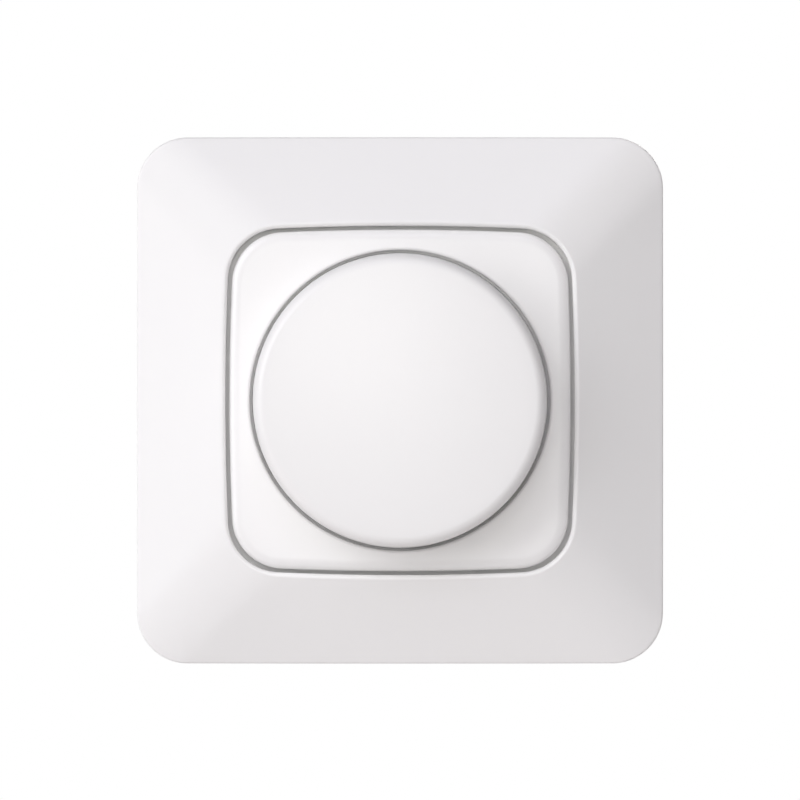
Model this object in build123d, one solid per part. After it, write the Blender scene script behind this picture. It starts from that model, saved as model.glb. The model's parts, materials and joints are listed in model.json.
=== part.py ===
from build123d import *
import math
import os

# Flush rotary dimmer: a push-and-turn knob in a square cover frame, on an insert for a round wall box.
# It is modelled with Z along the knob's axis, out of the wall, X to the right and Y up.
# The wall's surface is Z = 0. All sizes are in millimetres.

os.makedirs("parts", exist_ok=True)

# Cover frame
FRAME_SIZE = 85.0
FRAME_CORNER = 8.2
FRAME_EDGE_HEIGHT = 4.0
FRAME_RISE = 6.0
FRAME_WALL = 2.0
FRAME_EDGE_ROUND = 0.4
FRAME_RIM_ROUND = 0.6
LEDGE_WIDTH = 2.0
LEDGE_THICKNESS = 1.8
NOTCH_HEIGHT = 2.8
RIB_THICKNESS = 1.2
RIB_PLACE = 18.0

# Centre plate and the well that the knob sits in
PLATE_SIZE = 55.0
PLATE_CORNER = 7.8
SIDE_BOW = 442.0
PLATE_GAP = 0.6
PLATE_DROP = 0.4
PLATE_WALL = 1.6
PLATE_EDGE_HEIGHT = 3.2
PLATE_EDGE_ROUND = 1.2
PLATE_WEB = 3.3
WELL_DEPTH = 2.4
WELL_RIM_ROUND = 0.4
FLOOR_THICKNESS = 1.6
FLOOR_BOSS_DIAMETER = 20.0
POCKET_INSET = 0.3

# Knob
KNOB_GAP = 0.5
KNOB_HEIGHT = 10.0
KNOB_CROWN = 1.0
KNOB_DRAFT_ANGLE = 1.5
KNOB_EDGE_ROUND = 1.9
KNOB_WALL = 1.8
KNOB_RIB_COUNT = 6
KNOB_RIB_THICKNESS = 1.0
KNOB_RIB_DEPTH = 1.5
SOCKET_WALL = 2.2
SOCKET_SLOT = 0.8
RING_THICKNESS = 0.6
RING_WIDTH = 1.6
RING_OPEN_ANGLE = 50.0

# Movement
PUSH_TRAVEL = 1.6
TURN_ANGLE = 140.0
RUN_GAP = 0.3
SHAFT_GAP = 0.05
SEAT_GAP = 0.03
SLIDE_GAP = 0.2

# Shaft, bushing and locknut
SHAFT_DIAMETER = 6.0
SHAFT_FLAT = 1.5
SHAFT_SEAT = 7.0
PIVOT_DIAMETER = 3.0
PIVOT_LENGTH = 1.4
CLIP_THICKNESS = 0.6
CLIP_REACH = 1.6
CLIP_BITE = 0.5
BUSHING_DIAMETER = 10.0
BUSHING_END = 1.2
BUSHING_CHAMFER = 0.5
FLANGE_THICKNESS = 1.2
NUT_ACROSS_FLATS = 14.0
NUT_THICKNESS = 2.4
NUT_CHAMFER = 0.4

# Support plate and fixing slots
SUPPORT_THICKNESS = 1.2
SUPPORT_CUT = 9.0
FIXING_SPACING = 60.0
SLOT_WIDTH = 4.2
SLOT_LENGTH = 7.2
SLOT_MARGIN = 1.9
FIXING_HEAD = 9.0

# Casing, heat plate and casing screws
CASING_SIZE = 50.0
CASING_DIAMETER = 57.0
CASING_WALL = 1.6
CASING_BEVEL = 1.0
HEAT_PLATE = 2.0
SCREW_DIAMETER = 2.5
SCREW_LENGTH = 11.0
SCREW_SPARE = 1.0
SCREW_HEAD_DIAMETER = 4.6
SCREW_HEAD_HEIGHT = 1.5
SCREW_HEAD_BEVEL = 0.5
SCREW_WALL = 1.8
SCREW_SLOT = 0.7
VENT_WIDTH = 1.4
VENT_LENGTH = 8.0
VENT_COUNT = 5
VENT_PITCH = 3.2

# Potentiometer
POT_SIZE = 18.0
POT_WALL = 1.2
POT_DEPTH = 6.4
DISC_THICKNESS = 1.2
HUB_WALL = 1.6
LUG_ANGLE = 30.0
LUG_WIDTH = 1.6
STOP_SPARE_ANGLE = 4.0
WAFER_THICKNESS = 1.0
WAFER_TAB = 3.0
WIPER_THICKNESS = 0.25
FOOT_ANGLE = 12.0
FOOT_SPREAD_ANGLE = 60.0
PIN_DIAMETER = 0.8
PIN_PITCH = 4.0
PIN_TAIL = 0.8

# Push switch
SWITCH_DEPTH = 7.0
SWITCH_FLOOR = 1.0
PLUNGER_WIDTH = 9.4
PLUNGER_HEIGHT = 3.0
SPRING_DIAMETER = 6.0
SPRING_WIRE = 0.4
SPRING_TURNS = 4.0
BRIDGE_THICKNESS = 0.4
CONTACT_WIDTH = 2.0
CONTACT_GAP = 0.05

# Circuit board and what stands on it
BOARD_THICKNESS = 1.6
BOARD_GAP = 0.3
REST_WIDTH = 3.0
REST_PLACE = 8.0
HOLE_GAP = 0.1
PART_GAP = 0.8
LEAD_DIAMETER = 0.8
CHOKE_DIAMETER = 9.6
CHOKE_BORE = 5.0
CHOKE_HEIGHT = 4.6
CHOKE_TURNS = 16
CHOKE_WIRE = 0.7
FILM_WIDTH = 6.0
FILM_LENGTH = 13.0
FILM_HEIGHT = 11.0
CAN_DIAMETER = 8.0
CAN_HEIGHT = 11.5
CAN_GROOVE = 0.4
POWER_WIDTH = 9.6
POWER_THICKNESS = 4.2
TAB_LENGTH = 4.2
TAB_THICKNESS = 1.2
LEG_WIDTH = 0.8
LEG_PITCH = 2.5
PAD_THICKNESS = 0.5
CHIP_LENGTH = 5.0
CHIP_WIDTH = 4.0
CHIP_SPAN = 5.6
CHIP_HEIGHT = 1.5

# Terminals
WIRE_WIDTH = 4.4
WIRE_HEIGHT = 4.3
CAGE_WALL = 1.0
CAGE_BACK = 2.0
CAGE_LENGTH = 7.0
CAGE_PITCH = 9.0
ENTRY_MARGIN = 0.2
BAY_WALL = 1.0
CLAMP_DIAMETER = 3.0
CLAMP_HEAD_DIAMETER = 4.8
CLAMP_HEAD_HEIGHT = 1.5
CLAMP_SINK = 0.6

# Levels in front of the wall
support_front = SUPPORT_THICKNESS
rim_top = FRAME_EDGE_HEIGHT + FRAME_RISE
plate_front = rim_top - PLATE_DROP
ledge_top = plate_front - PLATE_EDGE_HEIGHT
ledge_back = ledge_top - LEDGE_THICKNESS
floor_top = plate_front - WELL_DEPTH
floor_back = floor_top - FLOOR_THICKNESS
nut_top = floor_top + NUT_THICKNESS
bushing_top = nut_top + BUSHING_END
knob_back = floor_top + PUSH_TRAVEL + RUN_GAP
knob_front = plate_front + KNOB_HEIGHT
knob_rim = knob_front - KNOB_CROWN
knob_ceiling = knob_rim - KNOB_WALL
socket_back = bushing_top + PUSH_TRAVEL + RUN_GAP
shaft_top = knob_ceiling - RUN_GAP

# Levels behind the wall's surface
lid_back = -HEAT_PLATE
flange_back = lid_back - FLANGE_THICKNESS
clip_top = flange_back - SLIDE_GAP
clip_back = clip_top - CLIP_THICKNESS
hub_top = clip_back - PUSH_TRAVEL - RUN_GAP
disc_top = hub_top - DISC_THICKNESS / 2
disc_back = disc_top - DISC_THICKNESS
wafer_front = flange_back - POT_DEPTH
wafer_back = wafer_front - WAFER_THICKNESS
board_front = wafer_back - SWITCH_DEPTH
board_back = board_front - BOARD_THICKNESS
chamber_floor = board_front + SWITCH_FLOOR
plunger_top = wafer_back - RUN_GAP
plunger_back = plunger_top - PLUNGER_HEIGHT
bridge_back = plunger_back - BRIDGE_THICKNESS
contact_top = bridge_back - PUSH_TRAVEL - CONTACT_GAP
cage_height = CAGE_WALL + WIRE_HEIGHT + CAGE_BACK
cage_back = board_back - cage_height
wire_level = board_back - CAGE_WALL - WIRE_HEIGHT / 2
clamp_head_top = cage_back - SEAT_GAP
casing_back = clamp_head_top - CLAMP_HEAD_HEIGHT - CLAMP_SINK
casing_floor = casing_back + CASING_WALL

# Radii and places that follow from the sizes
plate_half = PLATE_SIZE / 2
well_radius = plate_half - PLATE_WEB
knob_radius = well_radius - KNOB_GAP
shaft_radius = SHAFT_DIAMETER / 2
bore_radius = shaft_radius + SHAFT_GAP
bushing_radius = BUSHING_DIAMETER / 2
socket_radius = shaft_radius + SOCKET_WALL
flat_place = shaft_radius - SHAFT_FLAT
hub_radius = shaft_radius + HUB_WALL
pot_bore = POT_SIZE / 2 - POT_WALL
disc_radius = pot_bore - RUN_GAP
spring_radius = (SPRING_DIAMETER - SPRING_WIRE) / 2
chamber_half = POT_SIZE / 2 - POT_WALL
plunger_length = 2 * (chamber_half - SLIDE_GAP)
support_size = FIXING_SPACING + SLOT_LENGTH + 2 * SLOT_MARGIN
casing_half = CASING_SIZE / 2
inner_half = casing_half - CASING_WALL
post_radius = SCREW_DIAMETER / 2 + SCREW_WALL
post_place = (CASING_DIAMETER / 2 - CASING_WALL / 2 - post_radius) / math.sqrt(2)
screw_places = [(sx * post_place, sy * post_place) for sx in (-1, 1) for sy in (-1, 1)]
rest_places = [(sx * inner_half, sy * REST_PLACE) for sx in (-1, 1) for sy in (-1, 1)]
slot_places = [(sign * FIXING_SPACING / 2, 0, 0) for sign in (-1, 1)]
slot_places += [(0, sign * FIXING_SPACING / 2, 90) for sign in (-1, 1)]


def wall_reach(half_span):
    """How far from the axis a block of some half width may reach inside the casing."""
    corner = math.sqrt((CASING_DIAMETER / 2 - CASING_WALL - PART_GAP) ** 2 - half_span ** 2)
    return min(inner_half - PART_GAP, corner)


cage_width = WIRE_WIDTH + 2 * CAGE_WALL
cage_middle = CAGE_LENGTH / 2 - wall_reach(CAGE_PITCH + cage_width / 2)
cage_places = [-CAGE_PITCH, 0.0, CAGE_PITCH]
pin_place = -POT_SIZE / 2 - WAFER_TAB / 2
pin_places = [(step * PIN_PITCH, pin_place) for step in (-1, 0, 1)]
contact_place = chamber_half - CONTACT_WIDTH / 2 - SLIDE_GAP
contact_places = [(-contact_place, 0.0), (contact_place, 0.0)]
choke_row = CHOKE_DIAMETER / 2
choke_radius = CHOKE_DIAMETER / 2 + CHOKE_WIRE
choke_place = (choke_radius - wall_reach(choke_row + choke_radius), choke_row)
film_place = (wall_reach(FILM_LENGTH / 2) - FILM_WIDTH / 2, 0.0)
can_row = -CAN_DIAMETER / 2 - CHOKE_WIRE - PART_GAP
can_place = (CAN_DIAMETER / 2 - wall_reach(CAN_DIAMETER / 2 - can_row), can_row)
chip_row = -FILM_LENGTH / 2 - PART_GAP - CHIP_LENGTH / 2
chip_place = (wall_reach(CHIP_LENGTH / 2 - chip_row) - CHIP_SPAN / 2, chip_row)
leg_place = PART_GAP + LEG_WIDTH / 2
power_start = leg_place + LEG_WIDTH
power_end = post_place - post_radius - BOARD_GAP
power_length = power_end - power_start - TAB_LENGTH
power_middle = wall_reach(power_end) - POWER_WIDTH / 2
choke_leads = [(choke_place[0], choke_place[1] + side * CHOKE_DIAMETER / 2) for side in (-1, 1)]
film_leads = [(film_place[0], side * FILM_LENGTH / 3) for side in (-1, 1)]
can_leads = [(can_place[0], can_place[1] + side * CAN_DIAMETER / 4) for side in (-1, 1)]
leg_rows = [power_middle + step * LEG_PITCH for step in (-1, 0, 1)]
cage_pins = [(x, cage_middle) for x in cage_places]

BASE = (Align.CENTER, Align.CENTER, Align.MIN)
OVERCUT = 1.0


# Helpers for outlines and plain solids

def disc(radius, low, high, at=(0, 0)):
    """A cylinder between two levels."""
    return Pos(at[0], at[1], low) * Cylinder(radius, high - low, align=BASE)


def block(width, depth, low, high, at=(0, 0)):
    """A box between two levels."""
    return Pos(at[0], at[1], low) * Box(width, depth, high - low, align=BASE)


def prism(outline, low, high):
    """An outline raised from one level to another."""
    return extrude(Pos(0, 0, low) * outline, amount=high - low, dir=(0, 0, 1))


def turned(points):
    """A polygon of (radius, level) points, turned once round the axis."""
    corners = [(radius, 0, level) for radius, level in points]
    return revolve(make_face(Polyline(*corners, close=True)), axis=Axis.Z)


def sector(inner, outer, low, high, angle, middle):
    """A piece of a ring, an angle wide and centred on a direction."""
    half = math.radians(angle / 2)
    far = outer / math.cos(half)
    wedge = Polyline((0, 0), (far, -far * math.tan(half)), (far, far * math.tan(half)), close=True)
    ring = Circle(outer) - Circle(inner)
    return prism(Rot(0, 0, middle) * (ring & make_face(wedge)), low, high)


def quarter_turns(point):
    """A point and its three copies at right angles."""
    x, y = point
    return [(x, y), (-y, x), (-x, -y), (y, -x)]


def plain_outline(half, corner):
    """A square with rounded corners, drawn side by side so that it lofts cleanly."""
    ends = quarter_turns((half, half - corner))
    starts = quarter_turns((half, corner - half))
    knee = half - corner + corner / math.sqrt(2)
    knees = quarter_turns((knee, knee))
    edges = []
    for turn in range(4):
        edges.append(Line(starts[turn], ends[turn]))
        edges.append(ThreePointArc(ends[turn], knees[turn], starts[(turn + 1) % 4]))
    return make_face(edges)


def bowed_outline(offset):
    """The plate's outline, grown by an offset: four wide arcs joined by tangent corner arcs."""
    half = plate_half + offset
    corner = PLATE_CORNER + offset
    bow = SIDE_BOW + offset
    middle = half - bow
    reach = bow - corner
    centre = (middle + math.sqrt(2 * reach ** 2 - middle ** 2)) / 2
    end = (middle + bow * (centre - middle) / reach, bow * centre / reach)
    ends = quarter_turns(end)
    starts = quarter_turns((end[0], -end[1]))
    mids = quarter_turns((half, 0.0))
    knee = centre + corner / math.sqrt(2)
    knees = quarter_turns((knee, knee))
    edges = []
    for turn in range(4):
        edges.append(ThreePointArc(starts[turn], mids[turn], ends[turn]))
        edges.append(ThreePointArc(ends[turn], knees[turn], starts[(turn + 1) % 4]))
    return make_face(edges)


def casing_outline(offset):
    """A square whose corners are cut by the circle of the wall box, grown by an offset."""
    half = casing_half + offset
    radius = CASING_DIAMETER / 2 + offset
    flat_end = math.sqrt(radius ** 2 - half ** 2)
    ends = quarter_turns((half, flat_end))
    starts = quarter_turns((half, -flat_end))
    knees = quarter_turns((radius / math.sqrt(2), radius / math.sqrt(2)))
    edges = []
    for turn in range(4):
        edges.append(Line(starts[turn], ends[turn]))
        edges.append(ThreePointArc(ends[turn], knees[turn], starts[(turn + 1) % 4]))
    return make_face(edges)


def flatted(radius, flat, low, high):
    """A round bar with one flat, facing up."""
    size = 4 * radius
    return disc(radius, low, high) - block(size, size, low, high, at=(0, flat + size / 2))


def edges_at(solid, level):
    """The edges that lie flat at one level."""
    found = []
    for edge in solid.edges():
        box = edge.bounding_box()
        if abs(box.min.Z - level) < 1e-4 and abs(box.max.Z - level) < 1e-4:
            found.append(edge)
    return found


# Cover frame: sloping faces ruled from the square edge to the bowed rim of the opening

def cover_frame():
    outside = plain_outline(FRAME_SIZE / 2, FRAME_CORNER)
    opening = bowed_outline(PLATE_GAP)
    inner_side = bowed_outline(PLATE_GAP + FRAME_WALL)
    cavity_half = FRAME_SIZE / 2 - FRAME_WALL
    cavity_side = plain_outline(cavity_half, FRAME_CORNER - FRAME_WALL)
    slope = FRAME_RISE / (FRAME_SIZE / 2 - plate_half - PLATE_GAP)
    roof = FRAME_WALL * math.sqrt(1 + slope ** 2)
    low = FRAME_EDGE_HEIGHT + FRAME_WALL * slope - roof
    high = rim_top - FRAME_WALL * slope - roof
    edge = Pos(0, 0, FRAME_EDGE_HEIGHT) * outside
    frame = prism(outside, 0, FRAME_EDGE_HEIGHT)
    frame += loft([edge, Pos(0, 0, rim_top) * opening], ruled=True)
    frame = fillet(edges_at(frame, FRAME_EDGE_HEIGHT), FRAME_EDGE_ROUND)
    cavity = prism(cavity_side, 0, low)
    cavity += loft([Pos(0, 0, low) * cavity_side, Pos(0, 0, high) * inner_side], ruled=True)
    kept = prism(inner_side, support_front, rim_top)
    for turn in range(4):
        for side in (-1, 1):
            rib = block(cavity_half, RIB_THICKNESS, support_front + RUN_GAP, rim_top,
                        at=(cavity_half / 2 + plate_half / 2, side * RIB_PLACE))
            kept += Rot(0, 0, 90 * turn) * rib
    frame -= cavity - kept
    frame -= prism(opening, ledge_top, rim_top + OVERCUT)
    frame -= prism(opening, 0, ledge_back)
    frame -= prism(bowed_outline(PLATE_GAP - LEDGE_WIDTH), 0, rim_top)
    for x, y, turn in slot_places:
        notch = block(FIXING_HEAD + SLOT_LENGTH, FIXING_HEAD, support_front, support_front + NOTCH_HEIGHT)
        frame -= Pos(x, y, 0) * Rot(0, 0, turn) * notch
    return fillet(edges_at(frame, rim_top), FRAME_RIM_ROUND)


# Centre plate: a bowed square tray with a round well, standing on the frame's ledge

def centre_plate():
    plate = prism(bowed_outline(0), ledge_top, plate_front)
    plate = fillet(edges_at(plate, plate_front), PLATE_EDGE_ROUND)
    pocket = prism(bowed_outline(-PLATE_WALL), ledge_top, plate_front - PLATE_WALL)
    plate -= pocket - disc(plate_half - PLATE_WALL + POCKET_INSET, ledge_top, plate_front)
    plate += disc(well_radius + PLATE_WALL / 2, floor_back, floor_top)
    plate -= disc(well_radius, floor_top, plate_front + OVERCUT)
    plate += disc(FLOOR_BOSS_DIAMETER / 2, support_front, floor_back)
    plate -= disc(bushing_radius + HOLE_GAP, support_front, floor_top)
    rim = [edge for edge in edges_at(plate, plate_front) if edge.geom_type == GeomType.CIRCLE
           and abs(edge.radius - well_radius) < 1e-3]
    return fillet(rim, WELL_RIM_ROUND)


# Knob: a crowned disc with a drafted skirt and a rounded edge, a ribbed underside and a split socket

def knob():
    draft = math.tan(math.radians(KNOB_DRAFT_ANGLE))
    shoulder = knob_radius - draft * (knob_rim - knob_back)
    crown_radius = (shoulder ** 2 + KNOB_CROWN ** 2) / (2 * KNOB_CROWN)
    inside = knob_radius - KNOB_WALL
    inside_top = inside - draft * (knob_ceiling - knob_back)
    side = Polyline((shoulder, knob_rim), (knob_radius, knob_back), (0, knob_back), (0, knob_front))
    crown = RadiusArc((0, knob_front), (shoulder, knob_rim), crown_radius)
    outline = make_face(side + crown)
    corner = outline.vertices().sort_by_distance((shoulder, knob_rim))[0]
    body = revolve(Plane.XZ * fillet(corner, KNOB_EDGE_ROUND), axis=Axis.Z)
    body -= turned([(0, knob_back), (inside, knob_back), (inside_top, knob_ceiling), (0, knob_ceiling)])
    for step in range(KNOB_RIB_COUNT):
        reach = inside_top + KNOB_WALL / 2
        rib = block(reach, KNOB_RIB_THICKNESS, knob_ceiling - KNOB_RIB_DEPTH, knob_ceiling, at=(reach / 2, 0))
        body += Rot(0, 0, 360 / KNOB_RIB_COUNT * step) * rib
    body += disc(socket_radius, socket_back, knob_ceiling)
    groove_back = socket_back + RING_THICKNESS
    groove = disc(socket_radius, groove_back, groove_back + RING_WIDTH)
    body -= groove - disc(socket_radius - RING_THICKNESS, groove_back, groove_back + RING_WIDTH)
    body -= flatted(shaft_radius + SEAT_GAP, flat_place + SEAT_GAP, socket_back, knob_ceiling)
    return body - block(2 * socket_radius, SOCKET_SLOT, socket_back, groove_back + 2 * RING_WIDTH)


def socket_ring():
    low = socket_back + RING_THICKNESS + SEAT_GAP
    high = low + RING_WIDTH - 2 * SEAT_GAP
    inner = socket_radius - RING_THICKNESS + SEAT_GAP
    ring = disc(inner + RING_THICKNESS, low, high) - disc(inner, low, high)
    return ring - sector(inner / 2, 2 * inner, low, high, RING_OPEN_ANGLE, 90)


# Shaft and the pieces that hold it

def shaft():
    body = disc(shaft_radius, plunger_top, shaft_top)
    body -= block(SHAFT_DIAMETER, SHAFT_DIAMETER, shaft_top - SHAFT_SEAT, shaft_top,
                  at=(0, flat_place + shaft_radius))
    body -= block(SHAFT_DIAMETER, SHAFT_DIAMETER, plunger_top, clip_back,
                  at=(0, flat_place + shaft_radius))
    neck = shaft_radius - CLIP_BITE
    body -= disc(2 * shaft_radius, clip_back, clip_top) - disc(neck, clip_back, clip_top)
    body += disc(PIVOT_DIAMETER / 2, plunger_top - PIVOT_LENGTH, plunger_top)
    return chamfer(edges_at(body, shaft_top), BUSHING_CHAMFER)


def shaft_clip():
    neck = shaft_radius - CLIP_BITE + SEAT_GAP
    low = clip_back + SEAT_GAP
    high = clip_top - SEAT_GAP
    clip = disc(shaft_radius + CLIP_REACH, low, high) - disc(neck, low, high)
    return clip - block(2 * neck, 4 * shaft_radius, low, high, at=(0, 2 * shaft_radius))


def pot_bushing():
    body = disc(bushing_radius, lid_back, bushing_top)
    body = chamfer(edges_at(body, bushing_top), BUSHING_CHAMFER)
    body += block(POT_SIZE, POT_SIZE, flange_back, lid_back)
    return body - disc(bore_radius, flange_back, bushing_top)


def locknut():
    nut = prism(RegularPolygon(NUT_ACROSS_FLATS / 2, 6, major_radius=False), floor_top, nut_top)
    corner = NUT_ACROSS_FLATS / math.sqrt(3)
    nut &= turned([(0, floor_top), (corner, floor_top), (corner, nut_top - NUT_CHAMFER),
                   (corner - 2 * NUT_CHAMFER, nut_top), (0, nut_top)])
    return nut - disc(bushing_radius + SHAFT_GAP, floor_top, nut_top)


# Potentiometer: the case carries the stop, the rotor carries the lug and the wiper

def pot_case():
    case = block(POT_SIZE, POT_SIZE, wafer_front, flange_back)
    case = fillet(case.edges().filter_by(Axis.Z), POT_WALL)
    case -= disc(pot_bore, wafer_front, flange_back)
    stop_angle = 360 - 2 * (TURN_ANGLE + STOP_SPARE_ANGLE) - LUG_ANGLE
    return case + sector(disc_radius - LUG_WIDTH, pot_bore + POT_WALL / 2, disc_top + RUN_GAP, flange_back,
                         stop_angle, -90)


def wiper_rotor():
    rotor = disc(disc_radius, disc_back, disc_top)
    rotor += disc(hub_radius, wafer_front + RUN_GAP, hub_top)
    lug_start = disc_radius - LUG_WIDTH + RUN_GAP
    rotor += sector(lug_start, disc_radius, disc_top, hub_top + RUN_GAP, LUG_ANGLE, 90)
    return rotor - flatted(bore_radius, flat_place + SHAFT_GAP, wafer_front, hub_top)


def wiper_contact():
    low = disc_back - WIPER_THICKNESS
    spring = disc(disc_radius - RUN_GAP, low, disc_back) - disc(hub_radius + SEAT_GAP, low, disc_back)
    for side in (-1, 1):
        spring += sector(disc_radius - LUG_WIDTH, disc_radius - RUN_GAP, wafer_front + CONTACT_GAP, low,
                         FOOT_ANGLE, 90 + side * FOOT_SPREAD_ANGLE / 2)
    return spring


def resistor_wafer():
    wafer = block(POT_SIZE, POT_SIZE, wafer_back, wafer_front)
    wafer += block(3 * PIN_PITCH, WAFER_TAB, wafer_back, wafer_front, at=(0, pin_place))
    wafer -= disc(shaft_radius + RUN_GAP, wafer_back, wafer_front)
    for place in pin_places:
        wafer -= disc(PIN_DIAMETER / 2 + SEAT_GAP, wafer_back, wafer_front, at=place)
    return wafer


def pot_pins():
    pins = []
    for place in pin_places:
        pin = disc(PIN_DIAMETER / 2, board_back - PIN_TAIL, wafer_front, at=place)
        pins.append(pin + disc(PIN_DIAMETER, wafer_front, wafer_front + PIN_DIAMETER / 2, at=place))
    return pins


# Push switch: the plunger carries the shaft's pivot and drives the bridge onto the fixed contacts

def switch_body():
    body = block(POT_SIZE, POT_SIZE, board_front, wafer_back)
    body -= block(2 * chamber_half, PLUNGER_WIDTH + 2 * SLIDE_GAP, chamber_floor, wafer_back)
    for place in contact_places:
        body -= disc(LEAD_DIAMETER / 2 + SEAT_GAP, board_front, chamber_floor, at=place)
    return body


def switch_plunger():
    plunger = block(plunger_length, PLUNGER_WIDTH, plunger_back, plunger_top)
    plunger -= disc(PIVOT_DIAMETER / 2 + SHAFT_GAP, plunger_top - PIVOT_LENGTH - SHAFT_GAP, plunger_top)
    outer = SPRING_DIAMETER / 2 + SLIDE_GAP
    inner = SPRING_DIAMETER / 2 - SPRING_WIRE - SLIDE_GAP
    seat = plunger_top - DISC_THICKNESS
    return plunger - (disc(outer, plunger_back, seat) - disc(inner, plunger_back, seat))


def contact_bridge():
    bridge = block(plunger_length, PLUNGER_WIDTH, bridge_back, plunger_back)
    return bridge - disc(SPRING_DIAMETER / 2 + 2 * SLIDE_GAP, bridge_back, plunger_back)


def fixed_contact(place):
    contact = block(CONTACT_WIDTH, PLUNGER_WIDTH - 2 * SLIDE_GAP, chamber_floor, contact_top, at=place)
    return contact + disc(LEAD_DIAMETER / 2, board_back - PIN_TAIL, chamber_floor, at=place)


def return_spring():
    low = chamber_floor + SPRING_WIRE / 2
    high = plunger_top - DISC_THICKNESS - SPRING_WIRE / 2
    coil = Pos(0, 0, low) * Helix((high - low) / SPRING_TURNS, high - low, spring_radius)
    section = Plane(origin=coil @ 0, z_dir=coil % 0) * RegularPolygon(SPRING_WIRE / 2, 6)
    return sweep(section, path=coil, is_frenet=True)


# Support plate, heat plate and casing

def support_plate():
    outline = Rectangle(support_size, support_size)
    outline = chamfer(outline.vertices(), SUPPORT_CUT)
    outline -= Circle(bushing_radius + HOLE_GAP)
    for x, y, turn in slot_places:
        outline -= Pos(x, y) * Rot(0, 0, turn) * SlotOverall(SLOT_LENGTH, SLOT_WIDTH)
    for place in screw_places:
        outline -= Pos(*place) * Circle(SCREW_DIAMETER / 2 + HOLE_GAP)
    return prism(outline, 0, support_front)


def heat_plate():
    outline = casing_outline(0) - Circle(bushing_radius + HOLE_GAP)
    for place in screw_places:
        outline -= Pos(*place) * Circle(SCREW_DIAMETER / 2 + HOLE_GAP)
    return prism(outline, lid_back, 0)


def base_casing():
    bevel_top = casing_back + CASING_BEVEL
    back_face = Pos(0, 0, casing_back) * casing_outline(-CASING_BEVEL)
    casing = prism(casing_outline(0), bevel_top, lid_back)
    casing += loft([back_face, Pos(0, 0, bevel_top) * casing_outline(0)], ruled=True)
    casing -= prism(casing_outline(-CASING_WALL), casing_floor, lid_back)
    for place in screw_places:
        casing += disc(post_radius, casing_floor, lid_back, at=place)
    for x, y in rest_places:
        casing += block(CASING_WALL + 4 * BOARD_GAP, REST_WIDTH, casing_floor, board_back, at=(x, y))
    for step in range(4):
        wall = block(BAY_WALL, CAGE_LENGTH + 2 * PART_GAP, casing_floor, board_back - BOARD_GAP,
                     at=((step - 1.5) * CAGE_PITCH, cage_middle))
        casing += wall
    screw_end = support_front - SCREW_LENGTH - SCREW_SPARE
    for place in screw_places:
        casing -= disc(SCREW_DIAMETER / 2 + SEAT_GAP, screw_end, lid_back, at=place)
    for x in cage_places:
        entry = block(WIRE_WIDTH + 2 * ENTRY_MARGIN, 2 * CASING_WALL + PART_GAP, wire_level - WIRE_HEIGHT / 2
                      - ENTRY_MARGIN, wire_level + WIRE_HEIGHT / 2 + ENTRY_MARGIN, at=(x, -casing_half))
        casing -= entry
        casing -= disc(CLAMP_HEAD_DIAMETER / 2 + SLIDE_GAP, casing_back, casing_floor, at=(x, cage_middle))
    for step in range(VENT_COUNT):
        place = ((step - (VENT_COUNT - 1) / 2) * VENT_PITCH, casing_half)
        casing -= block(VENT_WIDTH, 3 * CASING_WALL, lid_back - VENT_LENGTH - CASING_WALL,
                        lid_back - CASING_WALL, at=place)
    return casing


def casing_screws():
    screws = []
    for place in screw_places:
        screw = disc(SCREW_DIAMETER / 2, support_front - SCREW_LENGTH, support_front, at=place)
        top = support_front + SCREW_HEAD_HEIGHT
        head = disc(SCREW_HEAD_DIAMETER / 2, support_front, top, at=place)
        head = chamfer(edges_at(head, top), SCREW_HEAD_BEVEL)
        head -= block(SCREW_HEAD_DIAMETER, SCREW_SLOT, top - SCREW_HEAD_HEIGHT / 2, top, at=place)
        screws.append(screw + head)
    return screws


# Circuit board and electronics

def circuit_board():
    outline = casing_outline(-CASING_WALL - BOARD_GAP)
    for place in screw_places:
        outline -= Pos(*place) * Circle(post_radius + BOARD_GAP)
    leads = pin_places + contact_places + choke_leads + film_leads + can_leads + cage_pins
    for place in leads:
        outline -= Pos(*place) * Circle(LEAD_DIAMETER / 2 + HOLE_GAP)
    for side in (-1, 1):
        for row in leg_rows:
            outline -= Pos(side * leg_place, row) * Circle(LEG_WIDTH / 2 + 2 * HOLE_GAP)
    return prism(outline, board_back, board_front)


def choke_level():
    return board_front + CHOKE_WIRE + RUN_GAP


def choke_core():
    low = choke_level()
    core = disc(CHOKE_DIAMETER / 2, low, low + CHOKE_HEIGHT) - disc(CHOKE_BORE / 2, low, low + CHOKE_HEIGHT)
    return Pos(choke_place[0], choke_place[1], 0) * core


def choke_winding():
    low = choke_level() - SEAT_GAP
    high = choke_level() + CHOKE_HEIGHT + SEAT_GAP
    inner = CHOKE_BORE / 2 - SEAT_GAP
    outer = CHOKE_DIAMETER / 2 + SEAT_GAP
    middle = (inner + outer) / 2
    width = outer - inner
    loop = block(width + 2 * CHOKE_WIRE, CHOKE_WIRE, low - CHOKE_WIRE, high + CHOKE_WIRE, at=(middle, 0))
    loop -= block(width, CHOKE_WIRE, low, high, at=(middle, 0))
    turns = []
    for step in range(CHOKE_TURNS):
        angle = 360 / CHOKE_TURNS * (step + 0.5)
        turns.append(Pos(choke_place[0], choke_place[1], 0) * Rot(0, 0, angle) * loop)
    for lead in choke_leads:
        turns.append(disc(LEAD_DIAMETER / 2, board_back - PIN_TAIL, low - CHOKE_WIRE, at=lead))
    return turns


def film_capacitor():
    body = block(FILM_WIDTH, FILM_LENGTH, board_front, board_front + FILM_HEIGHT, at=film_place)
    body = fillet(body.edges().filter_by(Axis.Z), FILM_WIDTH / 8)
    for lead in film_leads:
        body += disc(LEAD_DIAMETER / 2, board_back - PIN_TAIL, board_front, at=lead)
    return body


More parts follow.
